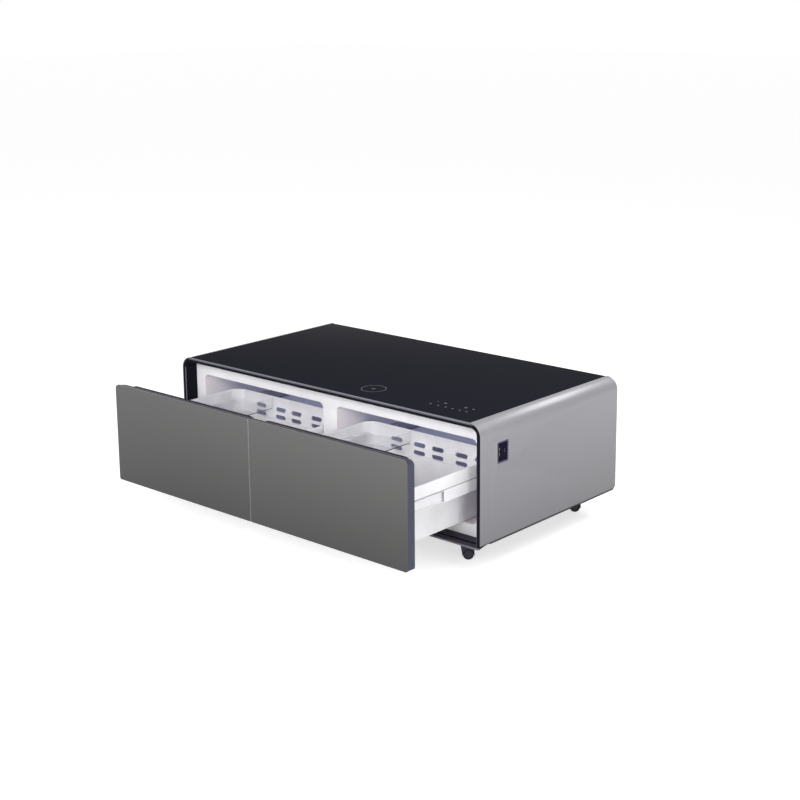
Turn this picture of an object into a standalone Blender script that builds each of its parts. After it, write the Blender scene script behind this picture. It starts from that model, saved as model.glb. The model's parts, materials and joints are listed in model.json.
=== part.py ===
"""Refrigerated coffee table with two cold drawers side by side, both standing open.

Metres, +Z up. The front faces -Y, and the socket plate is on the +X side. Cabinet pieces are drawn
in the cabinet's own frame, whose Y runs back from the plane of its front frame. Drawer pieces are
drawn in the same frame as they lie when shut, and the drawer's empty then pulls them out.
"""

import math

import bmesh
import bpy
from mathutils import Vector

# Overall sizes
table_width = 1.300
table_depth = 0.700
table_height = 0.450
drawer_pull = 0.300

# Clearances and sheet metal
fit_gap = 0.0003
overrun = 0.004
sheet = 0.0015
corner_steps = 5

# Side panels and glass
shoulder_radius = 0.040
side_bottom_height = 0.081
bottom_flange_width = 0.012
back_corner_radius = 0.013
glass_thickness = 0.005
glass_seat_width = 0.010
glass_front_setback = 0.008
glass_corner_radius = 0.003
back_panel_inset = 0.004

# Front frame
frame_side_lip = 0.0132
frame_top_lip = 0.0137
frame_inner_radius = 0.022
frame_foot_radius = 0.012
frame_inner_foot_radius = 0.004
frame_edge = 0.0015
frame_drop = 0.008
recess_depth = 0.050
ledge_front_height = 0.006
ledge_back_height = 0.017
groove_depth = 0.004
groove_front = 0.018
groove_width = 0.006

# Base pan
base_height = 0.076
pan_floor = 0.002
pan_side_inset = 0.003
pan_corner_radius = 0.006

# White liner and its foam
liner_wall = 0.0025
mullion_width = 0.060
opening_side_inset = 0.0545
opening_top_drop = 0.066
opening_bottom_rise = 0.0455
opening_radius = 0.018
rear_foam = 0.040
machine_depth = 0.132

# Deck under the glass
deck_height = 0.0057
deck_floor = 0.002
deck_rim = 0.008
charger_radius = 0.041
charger_bore_radius = 0.012
charger_thickness = 0.003
charger_x = 0.143
charger_y = 0.102
touch_edge_space = 0.190
touch_y = 0.100
touch_length = 0.160
touch_width = 0.046
touch_thickness = 0.0025

# Drawer fronts
front_side_gap = 0.0016
front_seam_gap = 0.0024
finger_gap = 0.0195
front_bottom_gap = 0.005
front_glass_thickness = 0.004
front_thickness = 0.033
front_top_slope = 0.006
front_top_radius = 0.016
front_bottom_radius = 0.008
front_seam_radius = 0.002
carrier_inset = 0.0008
plug_lap = 0.010
plug_radius = 0.024
plug_thickness = 0.0104
gasket_width = 0.012
gasket_clearance = 0.0005
gasket_bead = 0.0022

# Drawer bins
bin_wall = 0.003
bin_back_space = 0.025
bin_lift = 0.0025
collar_side_gap = 0.0025
collar_height = 0.039
collar_radius = 0.045
middle_height = 0.043
middle_end_inset = 0.003
end_ledge_drop = 0.0063
middle_radius = 0.040
lower_side_inset = 0.0337
lower_end_inset = 0.011
bin_top_space = 0.0755
lower_radius = 0.030
bin_bottom_round = 0.006
bin_step_rise = 0.003

# Air slots in the back wall of each bin
slot_length = 0.047
slot_height = 0.0145
slot_pair_spacing = 0.0755
slot_pair_pitch = 0.171
slot_pattern_offset = -0.0235
slot_top_drop = 0.0034
slot_row_spacing = 0.026
slot_steps = 2

# Clear trays
tray_width = 0.1720
tray_height = 0.0385
tray_right_radius = 0.007
tray_wall = 0.0022
tray_gap = 0.0015
tray_draft = 0.002
tray_lip = 0.0012

# Telescopic slides
rail_depth = 0.0127
rail_sheet = 0.0012
rail_play = 0.0006
rail_front_space = 0.005
rail_back_space = 0.0375
rail_end_play = 0.0008

# Castors
caster_inset_x = 0.109
caster_front_space = 0.0075
caster_back_space = 0.078
caster_rest_angle = -48
caster_plate_radius = 0.0155
caster_plate_thickness = 0.0025
caster_race_radius = 0.0115
caster_race_height = 0.004
caster_stem_radius = 0.004
caster_stem_length = 0.018
caster_trail = 0.004
wheel_radius = 0.0165
wheel_width = 0.0135
wheel_face_radius = 0.0135
wheel_edge = 0.0025
wheel_dish = 0.002
wheel_web_gap = 0.0009
axle_radius = 0.003
hood_web = 0.006
hood_shell = 0.0013
hood_wheel_gap = 0.0008
hood_width = 0.036
hood_skirt = 0.003
hood_lug = 0.0065
hood_top_half = 0.0215
hood_top_radius = 0.012
wheel_steps = 16
turn_steps = 24

# Machinery behind the cold box, in a row from left to right with shares of the free width between
machine_gap_shares = (0.2188, 0.2414, 0.1618, 0.1260)
compressor_length = 0.170
compressor_depth = 0.112
compressor_height = 0.148
compressor_foot_height = 0.012
compressor_foot_radius = 0.010
compressor_foot_spread_share = 0.34
compressor_rings = 7
compressor_end_share = 0.12
compressor_swell_power_share = 0.45
condenser_length = 0.230
condenser_depth = 0.090
condenser_height = 0.130
condenser_fins = 11
condenser_spine = 0.006
condenser_fin_share = 0.42
fan_size = 0.112
fan_depth = 0.026
fan_ring_radius = 0.052
fan_tip_gap = 0.0009
fan_hub_radius = 0.017
fan_motor_radius = 0.0135
fan_hub_wall = 0.0025
fan_blades = 7
fan_blade_thickness = 0.0016
fan_blade_pitch = 32
fan_strut_width = 0.005
fan_strut_depth = 0.004
control_length = 0.120
control_depth = 0.070
control_height = 0.090
control_radius = 0.006
drain_length = 0.190
drain_depth = 0.110
drain_height = 0.022
drain_wall = 0.002
drain_radius = 0.012

# Evaporator plates
evaporator_side_space = 0.060
evaporator_low_space = 0.045
evaporator_high_space = 0.030
evaporator_plate = 0.0016
evaporator_channel_depth = 0.004
evaporator_channel_width = 0.008
evaporator_runs = 5

# Vents and mains inlet in the back panel
vent_length = 0.110
vent_height = 0.006
vent_pitch = 0.016
vent_rows = 9
vent_low_rise = 0.087
inlet_edge_space = 0.130
inlet_rise = 0.067
inlet_flange_width = 0.050
inlet_flange_height = 0.028
inlet_flange_thickness = 0.003
inlet_body_width = 0.028
inlet_body_height = 0.020
inlet_body_depth = 0.024
inlet_well_width = 0.0242
inlet_well_height = 0.0162
inlet_well_depth = 0.018
inlet_pin_width = 0.002
inlet_pin_height = 0.004
inlet_pin_length = 0.012
inlet_pin_spacing = 0.007
inlet_pin_drop = 0.0035

# Socket plate on the side
plate_y = 0.105
plate_top_space = 0.1025
plate_length = 0.052
plate_height = 0.065
plate_radius = 0.005
plate_thickness = 0.003
module_inset = 0.004
module_depth = 0.024
port_spacing_z = 0.0155
port_offset_y = 0.0125
port_length = 0.0125
port_width = 0.0052
port_depth = 0.015
port_window_margin = 0.0006

# Places worked out from the sizes above
half_width = table_width / 2
front_plane_y = (drawer_pull - table_depth) / 2
shoulder_x = half_width - shoulder_radius
shoulder_z = table_height - shoulder_radius
inside_x = half_width - sheet - fit_gap
inside_radius = shoulder_radius - sheet - fit_gap
glass_low_z = table_height - glass_thickness
seat_top_z = glass_low_z - fit_gap
seat_low_z = seat_top_z - sheet
frame_top_z = table_height - sheet - fit_gap
frame_inner_x = inside_x - frame_side_lip
frame_inner_top_z = frame_top_z - frame_top_lip
frame_bottom_z = base_height - frame_drop
back_panel_y = table_depth - back_panel_inset - sheet
glass_back_y = back_panel_y - fit_gap
opening_inner_x = mullion_width / 2
opening_outer_x = half_width - opening_side_inset
opening_low_z = base_height + opening_bottom_rise
opening_high_z = table_height - opening_top_drop
opening_half = (opening_outer_x - opening_inner_x) / 2
drawer_centre_x = (opening_outer_x + opening_inner_x) / 2
foam_back_y = back_panel_y - machine_depth
cavity_back_y = foam_back_y - rear_foam
foam_front_y = recess_depth + liner_wall + fit_gap
panel_low_z = side_bottom_height + sheet + fit_gap
pan_top_z = side_bottom_height - fit_gap
pan_floor_z = base_height + pan_floor
deck_low_z = seat_top_z - deck_height
deck_floor_z = deck_low_z + deck_floor
machine_y = (foam_back_y + back_panel_y) / 2
caster_front_y = recess_depth + caster_front_space + caster_plate_radius
caster_back_y = table_depth - caster_back_space
front_low_z = frame_bottom_z + ledge_back_height + front_bottom_gap
front_high_z = frame_inner_top_z - finger_gap
bin_front_y = front_thickness + fit_gap + plug_thickness + fit_gap
bin_back_y = cavity_back_y - bin_back_space
bin_low_z = opening_low_z + bin_lift
rim_z = opening_high_z - bin_top_space
middle_top_z = rim_z - collar_height
lower_top_z = middle_top_z - middle_height
collar_half = opening_half - collar_side_gap
middle_half = opening_half - fit_gap - rail_depth - fit_gap
lower_half = middle_half - lower_side_inset
end_ledge_z = middle_top_z - end_ledge_drop
rail_length = cavity_back_y - rail_back_space - recess_depth - rail_front_space
touch_x = half_width - touch_edge_space
inlet_x = half_width - inlet_edge_space
plate_z = table_height - plate_top_space
machine_free = table_width - compressor_length - fan_depth - condenser_length - control_length
compressor_x = machine_gap_shares[0] * machine_free + compressor_length / 2 - half_width
fan_x = compressor_x + (compressor_length + fan_depth) / 2 + machine_gap_shares[1] * machine_free
condenser_x = fan_x + (fan_depth + condenser_length) / 2 + machine_gap_shares[2] * machine_free
control_x = condenser_x + (condenser_length + control_length) / 2 + machine_gap_shares[3] * machine_free

# Colours as red, green and blue, then roughness and metallic
finishes = {}


def finish(name, colour, roughness, metallic=0.0, see_through=0.0):
    """Make a plain principled material, once for each name."""
    made = bpy.data.materials.new(name)
    made.use_nodes = True
    shader = made.node_tree.nodes["Principled BSDF"]
    shader.inputs["Base Color"].default_value = (*colour, 1.0)
    shader.inputs["Roughness"].default_value = roughness
    shader.inputs["Metallic"].default_value = metallic
    shader.inputs["Transmission Weight"].default_value = see_through
    finishes[name] = made


def make_finishes():
    finish("black_glass", (0.012, 0.012, 0.016), 0.06)
    finish("grey_glass", (0.150, 0.150, 0.148), 0.12)
    finish("silver_steel", (0.330, 0.328, 0.345), 0.38, 0.55)
    finish("black_gloss", (0.014, 0.013, 0.018), 0.16)
    finish("slate_plastic", (0.078, 0.082, 0.125), 0.42)
    finish("white_plastic", (0.800, 0.800, 0.820), 0.32)
    finish("clear_plastic", (0.930, 0.950, 0.960), 0.05, 0.0, 0.9)
    finish("white_steel", (0.740, 0.740, 0.760), 0.35, 0.2)
    finish("zinc_steel", (0.480, 0.490, 0.500), 0.34, 1.0)
    finish("black_steel", (0.022, 0.022, 0.024), 0.50, 0.1)
    finish("black_rubber", (0.020, 0.020, 0.022), 0.80)
    finish("caster_plastic", (0.026, 0.024, 0.032), 0.38)
    finish("foam", (0.760, 0.640, 0.380), 0.90)
    finish("aluminium", (0.620, 0.630, 0.640), 0.36, 1.0)
    finish("dark_plastic", (0.030, 0.030, 0.034), 0.45)
    finish("circuit_green", (0.020, 0.090, 0.045), 0.45)


def clear_scene():
    for old in list(bpy.data.objects):
        bpy.data.objects.remove(old, do_unlink=True)


def empty(name, place, parent=None):
    made = bpy.data.objects.new(name, None)
    bpy.context.scene.collection.objects.link(made)
    made.location = place
    made.parent = parent
    return made


def piece(name, mesh, look, parent):
    """Give a mesh its object, its material and smooth shading across shallow edges."""
    mesh.name = name
    made = bpy.data.objects.new(name, mesh)
    bpy.context.scene.collection.objects.link(made)
    made.parent = parent
    mesh.materials.clear()
    mesh.materials.append(finishes[look])
    mesh.shade_smooth()
    mesh.set_sharp_from_angle(angle=math.radians(32))
    return made


# Outlines are lists of (u, v) points that run anticlockwise


def arc(centre_u, centre_v, radius, start, end, steps=corner_steps):
    """Points of a round stretch between two angles in degrees."""
    points = []
    for step in range(steps + 1):
        angle = math.radians(start + (end - start) * step / steps)
        points.append((centre_u + radius * math.cos(angle), centre_v + radius * math.sin(angle)))
    return points


def rounded(low_u, high_u, low_v, high_v, radii, steps=corner_steps):
    """A rectangle whose corners have their own radii: low-low, high-low, high-high, low-high."""
    first, second, third, fourth = radii
    return (
        arc(low_u + first, low_v + first, first, 180, 270, steps)
        + arc(high_u - second, low_v + second, second, 270, 360, steps)
        + arc(high_u - third, high_v - third, third, 0, 90, steps)
        + arc(low_u + fourth, high_v - fourth, fourth, 90, 180, steps)
    )


def even(radius):
    return (radius, radius, radius, radius)


def shouldered(inset, low_z, high_z, foot_radius):
    """The cabinet's section: square feet, and shoulders that follow the side panels up to a height."""
    side = inside_x - inset
    radius = inside_radius - inset
    rise = math.degrees(math.asin(min((high_z - shoulder_z) / radius, 1.0)))
    return (
        arc(foot_radius - side, low_z + foot_radius, foot_radius, 180, 270)
        + arc(side - foot_radius, low_z + foot_radius, foot_radius, 270, 360)
        + arc(shoulder_x, shoulder_z, radius, 0, rise)
        + arc(-shoulder_x, shoulder_z, radius, 180 - rise, 180)
    )


def ribbon(path, half):
    """Outline of a strip that follows a path with square turns."""
    left = []
    right = []
    for index, point in enumerate(path):
        before = path[max(index - 1, 0)]
        after = path[min(index + 1, len(path) - 1)]
        came = Vector((point[0] - before[0], point[1] - before[1]))
        goes = Vector((after[0] - point[0], after[1] - point[1]))
        came = (came if came.length > 0 else goes).normalized()
        goes = (goes if goes.length > 0 else came).normalized()
        aside = Vector((-came.y - goes.y, came.x + goes.x)) / (1 + came.dot(goes))
        left.append((point[0] + aside.x * half, point[1] + aside.y * half))
        right.append((point[0] - aside.x * half, point[1] - aside.y * half))
    return left + right[::-1]


def place(outline, axis, distance):
    """Stand an outline square to an axis, at a distance along it."""
    if axis == "X":
        return [Vector((distance, u, v)) for u, v in outline]
    if axis == "Y":
        return [Vector((u, distance, v)) for u, v in outline]
    return [Vector((u, v, distance)) for u, v in outline]


# Meshes


def skin(rings, endless=False):
    """Join rings of as many points each. The ends are capped, or meet where the skin is endless."""
    work = bmesh.new()
    rows = [[work.verts.new(point) for point in ring] for ring in rings]
    pairs = list(zip(rows, rows[1:]))
    if endless:
        pairs.append((rows[-1], rows[0]))
    count = len(rows[0])
    for low, high in pairs:
        for start in range(count):
            end = (start + 1) % count
            work.faces.new((low[start], low[end], high[end], high[start]))
    if not endless:
        work.faces.new(rows[0][::-1])
        work.faces.new(rows[-1])
    bmesh.ops.recalc_face_normals(work, faces=work.faces)
    if work.calc_volume(signed=True) < 0:
        bmesh.ops.reverse_faces(work, faces=work.faces)
    mesh = bpy.data.meshes.new("shape")
    work.to_mesh(mesh)
    work.free()
    return mesh


def prism(outline, axis, low, high):
    return skin([place(outline, axis, low), place(outline, axis, high)])


def block(low_x, high_x, low_y, high_y, low_z, high_z):
    outline = [(low_x, low_y), (high_x, low_y), (high_x, high_y), (low_x, high_y)]
    return prism(outline, "Z", low_z, high_z)


def turned(axis, centre, profile, steps, phase=0.0):
    """Turn a profile of (distance along the axis, radius) about an axis through a centre."""
    rings = []
    for distance, radius in profile:
        circle = [
            (
                centre[0] + radius * math.cos(math.radians(phase) + math.tau * step / steps),
                centre[1] + radius * math.sin(math.radians(phase) + math.tau * step / steps),
            )
            for step in range(steps)
        ]
        rings.append(place(circle, axis, distance))
    return skin(rings)


def changed(mesh, operation, others):
    """Join meshes to a mesh or cut them from it, and return the finished mesh."""
    body = bpy.data.objects.new("body", mesh)
    bpy.context.scene.collection.objects.link(body)
    tools = []
    for other in others:
        tool = bpy.data.objects.new("tool", other)
        bpy.context.scene.collection.objects.link(tool)
        modifier = body.modifiers.new("change", "BOOLEAN")
        modifier.operation = operation
        modifier.solver = "EXACT"
        modifier.object = tool
        tools.append(tool)
    bpy.context.view_layer.update()
    graph = bpy.context.evaluated_depsgraph_get()
    finished = bpy.data.meshes.new_from_object(body.evaluated_get(graph))
    for used in [body, *tools]:
        bpy.data.objects.remove(used, do_unlink=True)
    return finished


def joined(mesh, *others):
    return changed(mesh, "UNION", others)


def cut(mesh, *others):
    return changed(mesh, "DIFFERENCE", others)


# Cabinet shell


def side_outline():
    """Section of the right side panel: bottom flange, wall, shoulder, glass rebate and glass seat."""
    inner_radius = shoulder_radius - sheet
    inner_end = math.degrees(math.acos(sheet / inner_radius))
    return (
        [(half_width - bottom_flange_width, side_bottom_height), (half_width, side_bottom_height)]
        + arc(shoulder_x, shoulder_z, shoulder_radius, 0, 90, corner_steps + 2)
        + [
            (shoulder_x, seat_top_z),
            (shoulder_x - glass_seat_width, seat_top_z),
            (shoulder_x - glass_seat_width, seat_low_z),
            (shoulder_x + sheet, seat_low_z),
        ]
        + arc(shoulder_x, shoulder_z, inner_radius, inner_end, 0, corner_steps + 2)
        + [
            (half_width - sheet, side_bottom_height + sheet),
            (half_width - bottom_flange_width, side_bottom_height + sheet),
        ]
    )


def seat_notch(low_y, high_y):
    """What the glass seat gives up at either end, where the front frame and back panel stand."""
    return block(
        shoulder_x - glass_seat_width - overrun,
        shoulder_x + sheet,
        low_y,
        high_y,
        seat_low_z - overrun,
        table_height - sheet,
    )


def foot_notch():
    """What the bottom flange gives up at the front, where the front frame comes down past it."""
    return block(
        half_width - bottom_flange_width - overrun,
        half_width - sheet,
        -overrun,
        recess_depth,
        side_bottom_height - overrun,
        side_bottom_height + sheet + overrun,
    )


def back_corner_cutter():
    """The stuff outside the rounded lower back corner of a side panel."""
    centre_y = table_depth - back_corner_radius
    centre_z = side_bottom_height + back_corner_radius
    outline = arc(centre_y, centre_z, back_corner_radius, 0, -90) + [
        (centre_y, side_bottom_height - overrun),
        (table_depth + overrun, side_bottom_height - overrun),
        (table_depth + overrun, centre_z),
    ]
    return prism(outline, "X", half_width - bottom_flange_width - overrun, half_width + overrun)


def plate_outline(growth):
    half_length = plate_length / 2 + growth
    half_height = plate_height / 2 + growth
    return rounded(
        plate_y - half_length,
        plate_y + half_length,
        plate_z - half_height,
        plate_z + half_height,
        even(plate_radius + growth),
    )


def mirrored(mesh):
    """Flip a mesh over to the other side of the cabinet."""
    work = bmesh.new()
    work.from_mesh(mesh)
    for corner in work.verts:
        corner.co.x = -corner.co.x
    bmesh.ops.reverse_faces(work, faces=work.faces)
    flipped = bpy.data.meshes.new("shape")
    work.to_mesh(flipped)
    work.free()
    return flipped


def make_side_panels(cabinet):
    plain = cut(
        prism(side_outline(), "Y", 0, table_depth),
        seat_notch(-overrun, glass_front_setback),
        seat_notch(glass_back_y, table_depth + overrun),
        foot_notch(),
        back_corner_cutter(),
    )
    piece("side_panel_left", mirrored(plain), "silver_steel", cabinet)
    window = prism(plate_outline(fit_gap), "X", half_width - sheet - overrun, half_width + overrun)
    piece("side_panel_right", cut(plain, window), "silver_steel", cabinet)


def make_glass_top(cabinet):
    edge = shoulder_x - fit_gap
    outline = rounded(-edge, edge, glass_front_setback, glass_back_y, even(glass_corner_radius))
    piece("glass_top", prism(outline, "Z", glass_low_z, table_height), "black_glass", cabinet)


def make_front_frame(cabinet):
    """A deep ring whose lower member is a ledge with a groove along it."""
    lip_end_y = glass_front_setback - fit_gap
    low_top_z = seat_low_z - fit_gap
    back_y = recess_depth - fit_gap
    foot = frame_inner_foot_radius
    slope = (ledge_back_height - ledge_front_height) / recess_depth
    ledge_z = frame_bottom_z + ledge_front_height

    def outer(inset, high_z, distance):
        low_z = frame_bottom_z + frame_drop * distance / back_y
        outline = shouldered(inset, low_z + inset, high_z - inset, frame_foot_radius)
        return place(outline, "Y", distance)

    def inner(outset, low_z, distance):
        side = frame_inner_x + outset
        high_z = frame_inner_top_z + outset
        radii = (foot, foot, frame_inner_radius, frame_inner_radius)
        return place(rounded(-side, side, low_z - outset, high_z, radii), "Y", distance)

    groove_back = groove_front + groove_width
    rings = [
        outer(frame_edge, frame_top_z, 0),
        outer(0, frame_top_z, frame_edge),
        outer(0, frame_top_z, lip_end_y - fit_gap),
        outer(0, low_top_z, lip_end_y),
        outer(0, low_top_z, back_y),
        inner(0, ledge_z + slope * back_y, back_y),
        inner(0, ledge_z + slope * (groove_back + fit_gap), groove_back + fit_gap),
        inner(0, ledge_z + slope * groove_back - groove_depth, groove_back),
        inner(0, ledge_z + slope * groove_front - groove_depth, groove_front),
        inner(0, ledge_z + slope * (groove_front - fit_gap), groove_front - fit_gap),
        inner(0, ledge_z + slope * frame_edge, frame_edge),
        inner(frame_edge, ledge_z, 0),
    ]
    piece("front_frame", skin(rings, endless=True), "black_gloss", cabinet)


def opening_outline(side, growth):
    """Outline of one cold compartment, grown by a distance all round."""
    centre = side * drawer_centre_x
    return rounded(
        centre - opening_half - growth,
        centre + opening_half + growth,
        opening_low_z - growth,
        opening_high_z + growth,
        even(opening_radius + growth),
    )


def make_liner(cabinet):
    face = prism(
        shouldered(0, panel_low_z, deck_low_z - fit_gap, frame_inner_foot_radius),
        "Y",
        recess_depth,
        recess_depth + liner_wall,
    )
    boxes = [
        prism(
            opening_outline(side, liner_wall),
            "Y",
            recess_depth + liner_wall / 2,
            cavity_back_y + liner_wall,
        )
        for side in (-1, 1)
    ]
    hollows = [
        prism(opening_outline(side, 0), "Y", recess_depth - overrun, cavity_back_y) for side in (-1, 1)
    ]
    piece("liner", cut(joined(face, *boxes), *hollows), "white_plastic", cabinet)


def make_insulation(cabinet):
    """Foam between the liner and the shell, with a pocket for the socket module."""
    core = prism(
        shouldered(0, panel_low_z, deck_low_z - fit_gap, frame_inner_foot_radius),
        "Y",
        foam_front_y,
        foam_back_y,
    )
    pockets = [
        prism(
            opening_outline(side, liner_wall + fit_gap),
            "Y",
            foam_front_y - overrun,
            cavity_back_y + liner_wall + fit_gap,
        )
        for side in (-1, 1)
    ]
    socket_pocket = block(
        half_width - plate_thickness - fit_gap - module_depth - fit_gap,
        half_width,
        plate_y - plate_length / 2 - fit_gap,
        plate_y + plate_length / 2 + fit_gap,
        plate_z - plate_height / 2 - fit_gap,
        plate_z + plate_height / 2 + fit_gap,
    )
    piece("insulation", cut(core, *pockets, socket_pocket), "foam", cabinet)


def open_box(rings_outside, rings_inside):
    """A box that is open at the top: up its outside, over the rim and down its inside."""
    return skin(rings_outside + rings_inside)


def make_base_pan(cabinet):
    side = half_width - pan_side_inset
    back = table_depth - pan_side_inset

    def ring(inset, height):
        outline = rounded(
            inset - side,
            side - inset,
            recess_depth + inset,
            back - inset,
            even(pan_corner_radius - inset),
        )
        return place(outline, "Z", height)

    mesh = open_box(
        [ring(0, base_height), ring(0, pan_top_z)],
        [ring(pan_floor, pan_top_z), ring(pan_floor, pan_floor_z)],
    )
    piece("base_pan", mesh, "black_steel", cabinet)


def make_top_deck(cabinet):
    side = shoulder_x - glass_seat_width - fit_gap

    def ring(inset, height):
        outline = rounded(
            inset - side,
            side - inset,
            recess_depth + inset,
            glass_back_y - inset,
            even(deck_rim + deck_floor - inset),
        )
        return place(outline, "Z", height)

    mesh = open_box(
        [ring(0, deck_low_z), ring(0, seat_top_z)],
        [ring(deck_rim, seat_top_z), ring(deck_rim, deck_floor_z)],
    )
    piece("top_deck", mesh, "white_steel", cabinet)


def make_wireless_charger(cabinet):
    low = deck_floor_z + fit_gap
    high = low + charger_thickness
    centre = (charger_x, charger_y)
    disc = turned("Z", centre, [(low, charger_radius), (high, charger_radius)], turn_steps)
    bore_cut = [(low - overrun, charger_bore_radius), (high + overrun, charger_bore_radius)]
    piece("wireless_charger", cut(disc, turned("Z", centre, bore_cut, turn_steps)), "dark_plastic", cabinet)


def make_touch_board(cabinet):
    low = deck_floor_z + fit_gap
    mesh = block(
        touch_x - touch_length / 2,
        touch_x + touch_length / 2,
        touch_y - touch_width / 2,
        touch_y + touch_width / 2,
        low,
        low + touch_thickness,
    )
    piece("touch_board", mesh, "circuit_green", cabinet)


def inlet_centre_z():
    return base_height + inlet_rise


def make_back_panel(cabinet):
    """Steel sheet with two louvred vents and a window for the mains inlet."""
    section = shouldered(0, panel_low_z, frame_top_z, frame_inner_foot_radius)
    mesh = prism(section, "Y", back_panel_y, back_panel_y + sheet)
    cutters = []
    for centre in (compressor_x, condenser_x):
        for row in range(vent_rows):
            low = base_height + vent_low_rise + row * vent_pitch
            outline = rounded(
                centre - vent_length / 2,
                centre + vent_length / 2,
                low,
                low + vent_height,
                even(vent_height / 2 - fit_gap),
                1,
            )
            cutters.append(prism(outline, "Y", back_panel_y - overrun, back_panel_y + sheet + overrun))
    window = block(
        inlet_x - inlet_body_width / 2 - fit_gap,
        inlet_x + inlet_body_width / 2 + fit_gap,
        back_panel_y - overrun,
        back_panel_y + sheet + overrun,
        inlet_centre_z() - inlet_body_height / 2 - fit_gap,
        inlet_centre_z() + inlet_body_height / 2 + fit_gap,
    )
    piece("back_panel", cut(mesh, *cutters, window), "black_steel", cabinet)


def centred_block(centre_x, centre_z, width, height, low_y, high_y):
    return block(
        centre_x - width / 2,
        centre_x + width / 2,
        low_y,
        high_y,
        centre_z - height / 2,
        centre_z + height / 2,
    )


def make_power_inlet(cabinet):
    """Three-pin mains inlet: a flange outside the panel and a body through it."""
    seat = back_panel_y + sheet + fit_gap
    face = seat + inlet_flange_thickness
    height = inlet_centre_z()
    flange = centred_block(inlet_x, height, inlet_flange_width, inlet_flange_height, seat, face)
    body = centred_block(
        inlet_x,
        height,
        inlet_body_width,
        inlet_body_height,
        face - inlet_body_depth,
        face - inlet_flange_thickness / 2,
    )
    well = centred_block(
        inlet_x, height, inlet_well_width, inlet_well_height, face - inlet_well_depth, face + overrun
    )
    pins = []
    places = (
        (-inlet_pin_spacing, -inlet_pin_drop),
        (0, inlet_pin_drop),
        (inlet_pin_spacing, -inlet_pin_drop),
    )
    for offset, drop in places:
        pins.append(
            centred_block(
                inlet_x + offset,
                height + drop,
                inlet_pin_width,
                inlet_pin_height,
                face - inlet_well_depth - inlet_flange_thickness / 2,
                face - inlet_well_depth + inlet_pin_length,
            )
        )
    mesh = joined(cut(joined(flange, body), well), *pins)
    piece("power_inlet", mesh, "dark_plastic", cabinet)


# Socket plate and the module behind it


def port_centres():
    return [
        (plate_y - port_offset_y, plate_z - port_spacing_z / 2),
        (plate_y - port_offset_y, plate_z + port_spacing_z / 2),
        (plate_y + port_offset_y, plate_z),
    ]


def port_block(centre_y, centre_z, growth, low_x, high_x):
    half_length = port_length / 2 + growth
    half_width_y = port_width / 2 + growth
    return block(
        low_x,
        high_x,
        centre_y - half_width_y,
        centre_y + half_width_y,
        centre_z - half_length,
        centre_z + half_length,
    )


def make_socket(cabinet):
    """A flush plate with windows for three upright charging ports, and the block that holds them."""
    low_x = half_width - plate_thickness
    plate = prism(plate_outline(0), "X", low_x, half_width)
    windows = [
        port_block(y, z, port_window_margin, low_x - overrun, half_width + overrun)
        for y, z in port_centres()
    ]
    piece("socket_plate", cut(plate, *windows), "dark_plastic", cabinet)
    back_x = low_x - fit_gap - module_depth
    front_x = low_x - fit_gap
    module = block(
        back_x,
        front_x,
        plate_y - plate_length / 2 + module_inset,
        plate_y + plate_length / 2 - module_inset,
        plate_z - plate_height / 2 + module_inset,
        plate_z + plate_height / 2 - module_inset,
    )
    ports = [port_block(y, z, 0, front_x - port_depth, front_x + overrun) for y, z in port_centres()]
    piece("socket_module", cut(module, *ports), "dark_plastic", cabinet)


# Cold plates


def make_evaporators(cabinet):
    """A plate on the back wall of each compartment, with its channel winding across it."""
    for side, word in ((-1, "left"), (1, "right")):
        centre = side * drawer_centre_x
        low_x = centre - opening_half + evaporator_side_space
        high_x = centre + opening_half - evaporator_side_space
        low_z = opening_low_z + evaporator_low_space
        high_z = opening_high_z - evaporator_high_space
        back = cavity_back_y - fit_gap
        front = back - evaporator_plate
        plate = block(low_x, high_x, front, back, low_z, high_z)
        pitch = (high_z - low_z) / evaporator_runs
        left = low_x + evaporator_channel_width
        right = high_x - evaporator_channel_width
        path = []
        for run in range(evaporator_runs):
            middle = low_z + pitch * run + pitch / 2
            ends = [(left, middle), (right, middle)]
            path += ends if run % 2 == 0 else ends[::-1]
        channel_outline = ribbon(path, evaporator_channel_width / 2)
        winding = prism(channel_outline, "Y", front - evaporator_channel_depth, back - evaporator_plate / 2)
        piece("evaporator_" + word, joined(plate, winding), "aluminium", cabinet)


# Drawers


def front_outline(side, inset, drop):
    """Outline of a drawer front, with its rounder corners on the outer side."""
    seam = front_seam_gap / 2 + inset
    edge = frame_inner_x - front_side_gap - inset
    top = front_top_radius - inset
    bottom = front_bottom_radius - inset
    low_z = front_low_z + inset
    high_z = front_high_z - inset - drop
    if side > 0:
        return rounded(seam, edge, low_z, high_z, (front_seam_radius, bottom, top, front_seam_radius))
    return rounded(-edge, -seam, low_z, high_z, (bottom, front_seam_radius, front_seam_radius, top))


def plug_outline(side, growth):
    centre = side * drawer_centre_x
    reach = opening_half + plug_lap + growth
    return rounded(
        centre - reach,
        centre + reach,
        opening_low_z - plug_lap - growth,
        opening_high_z + plug_lap + growth,
        even(plug_radius + growth),
    )


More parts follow.
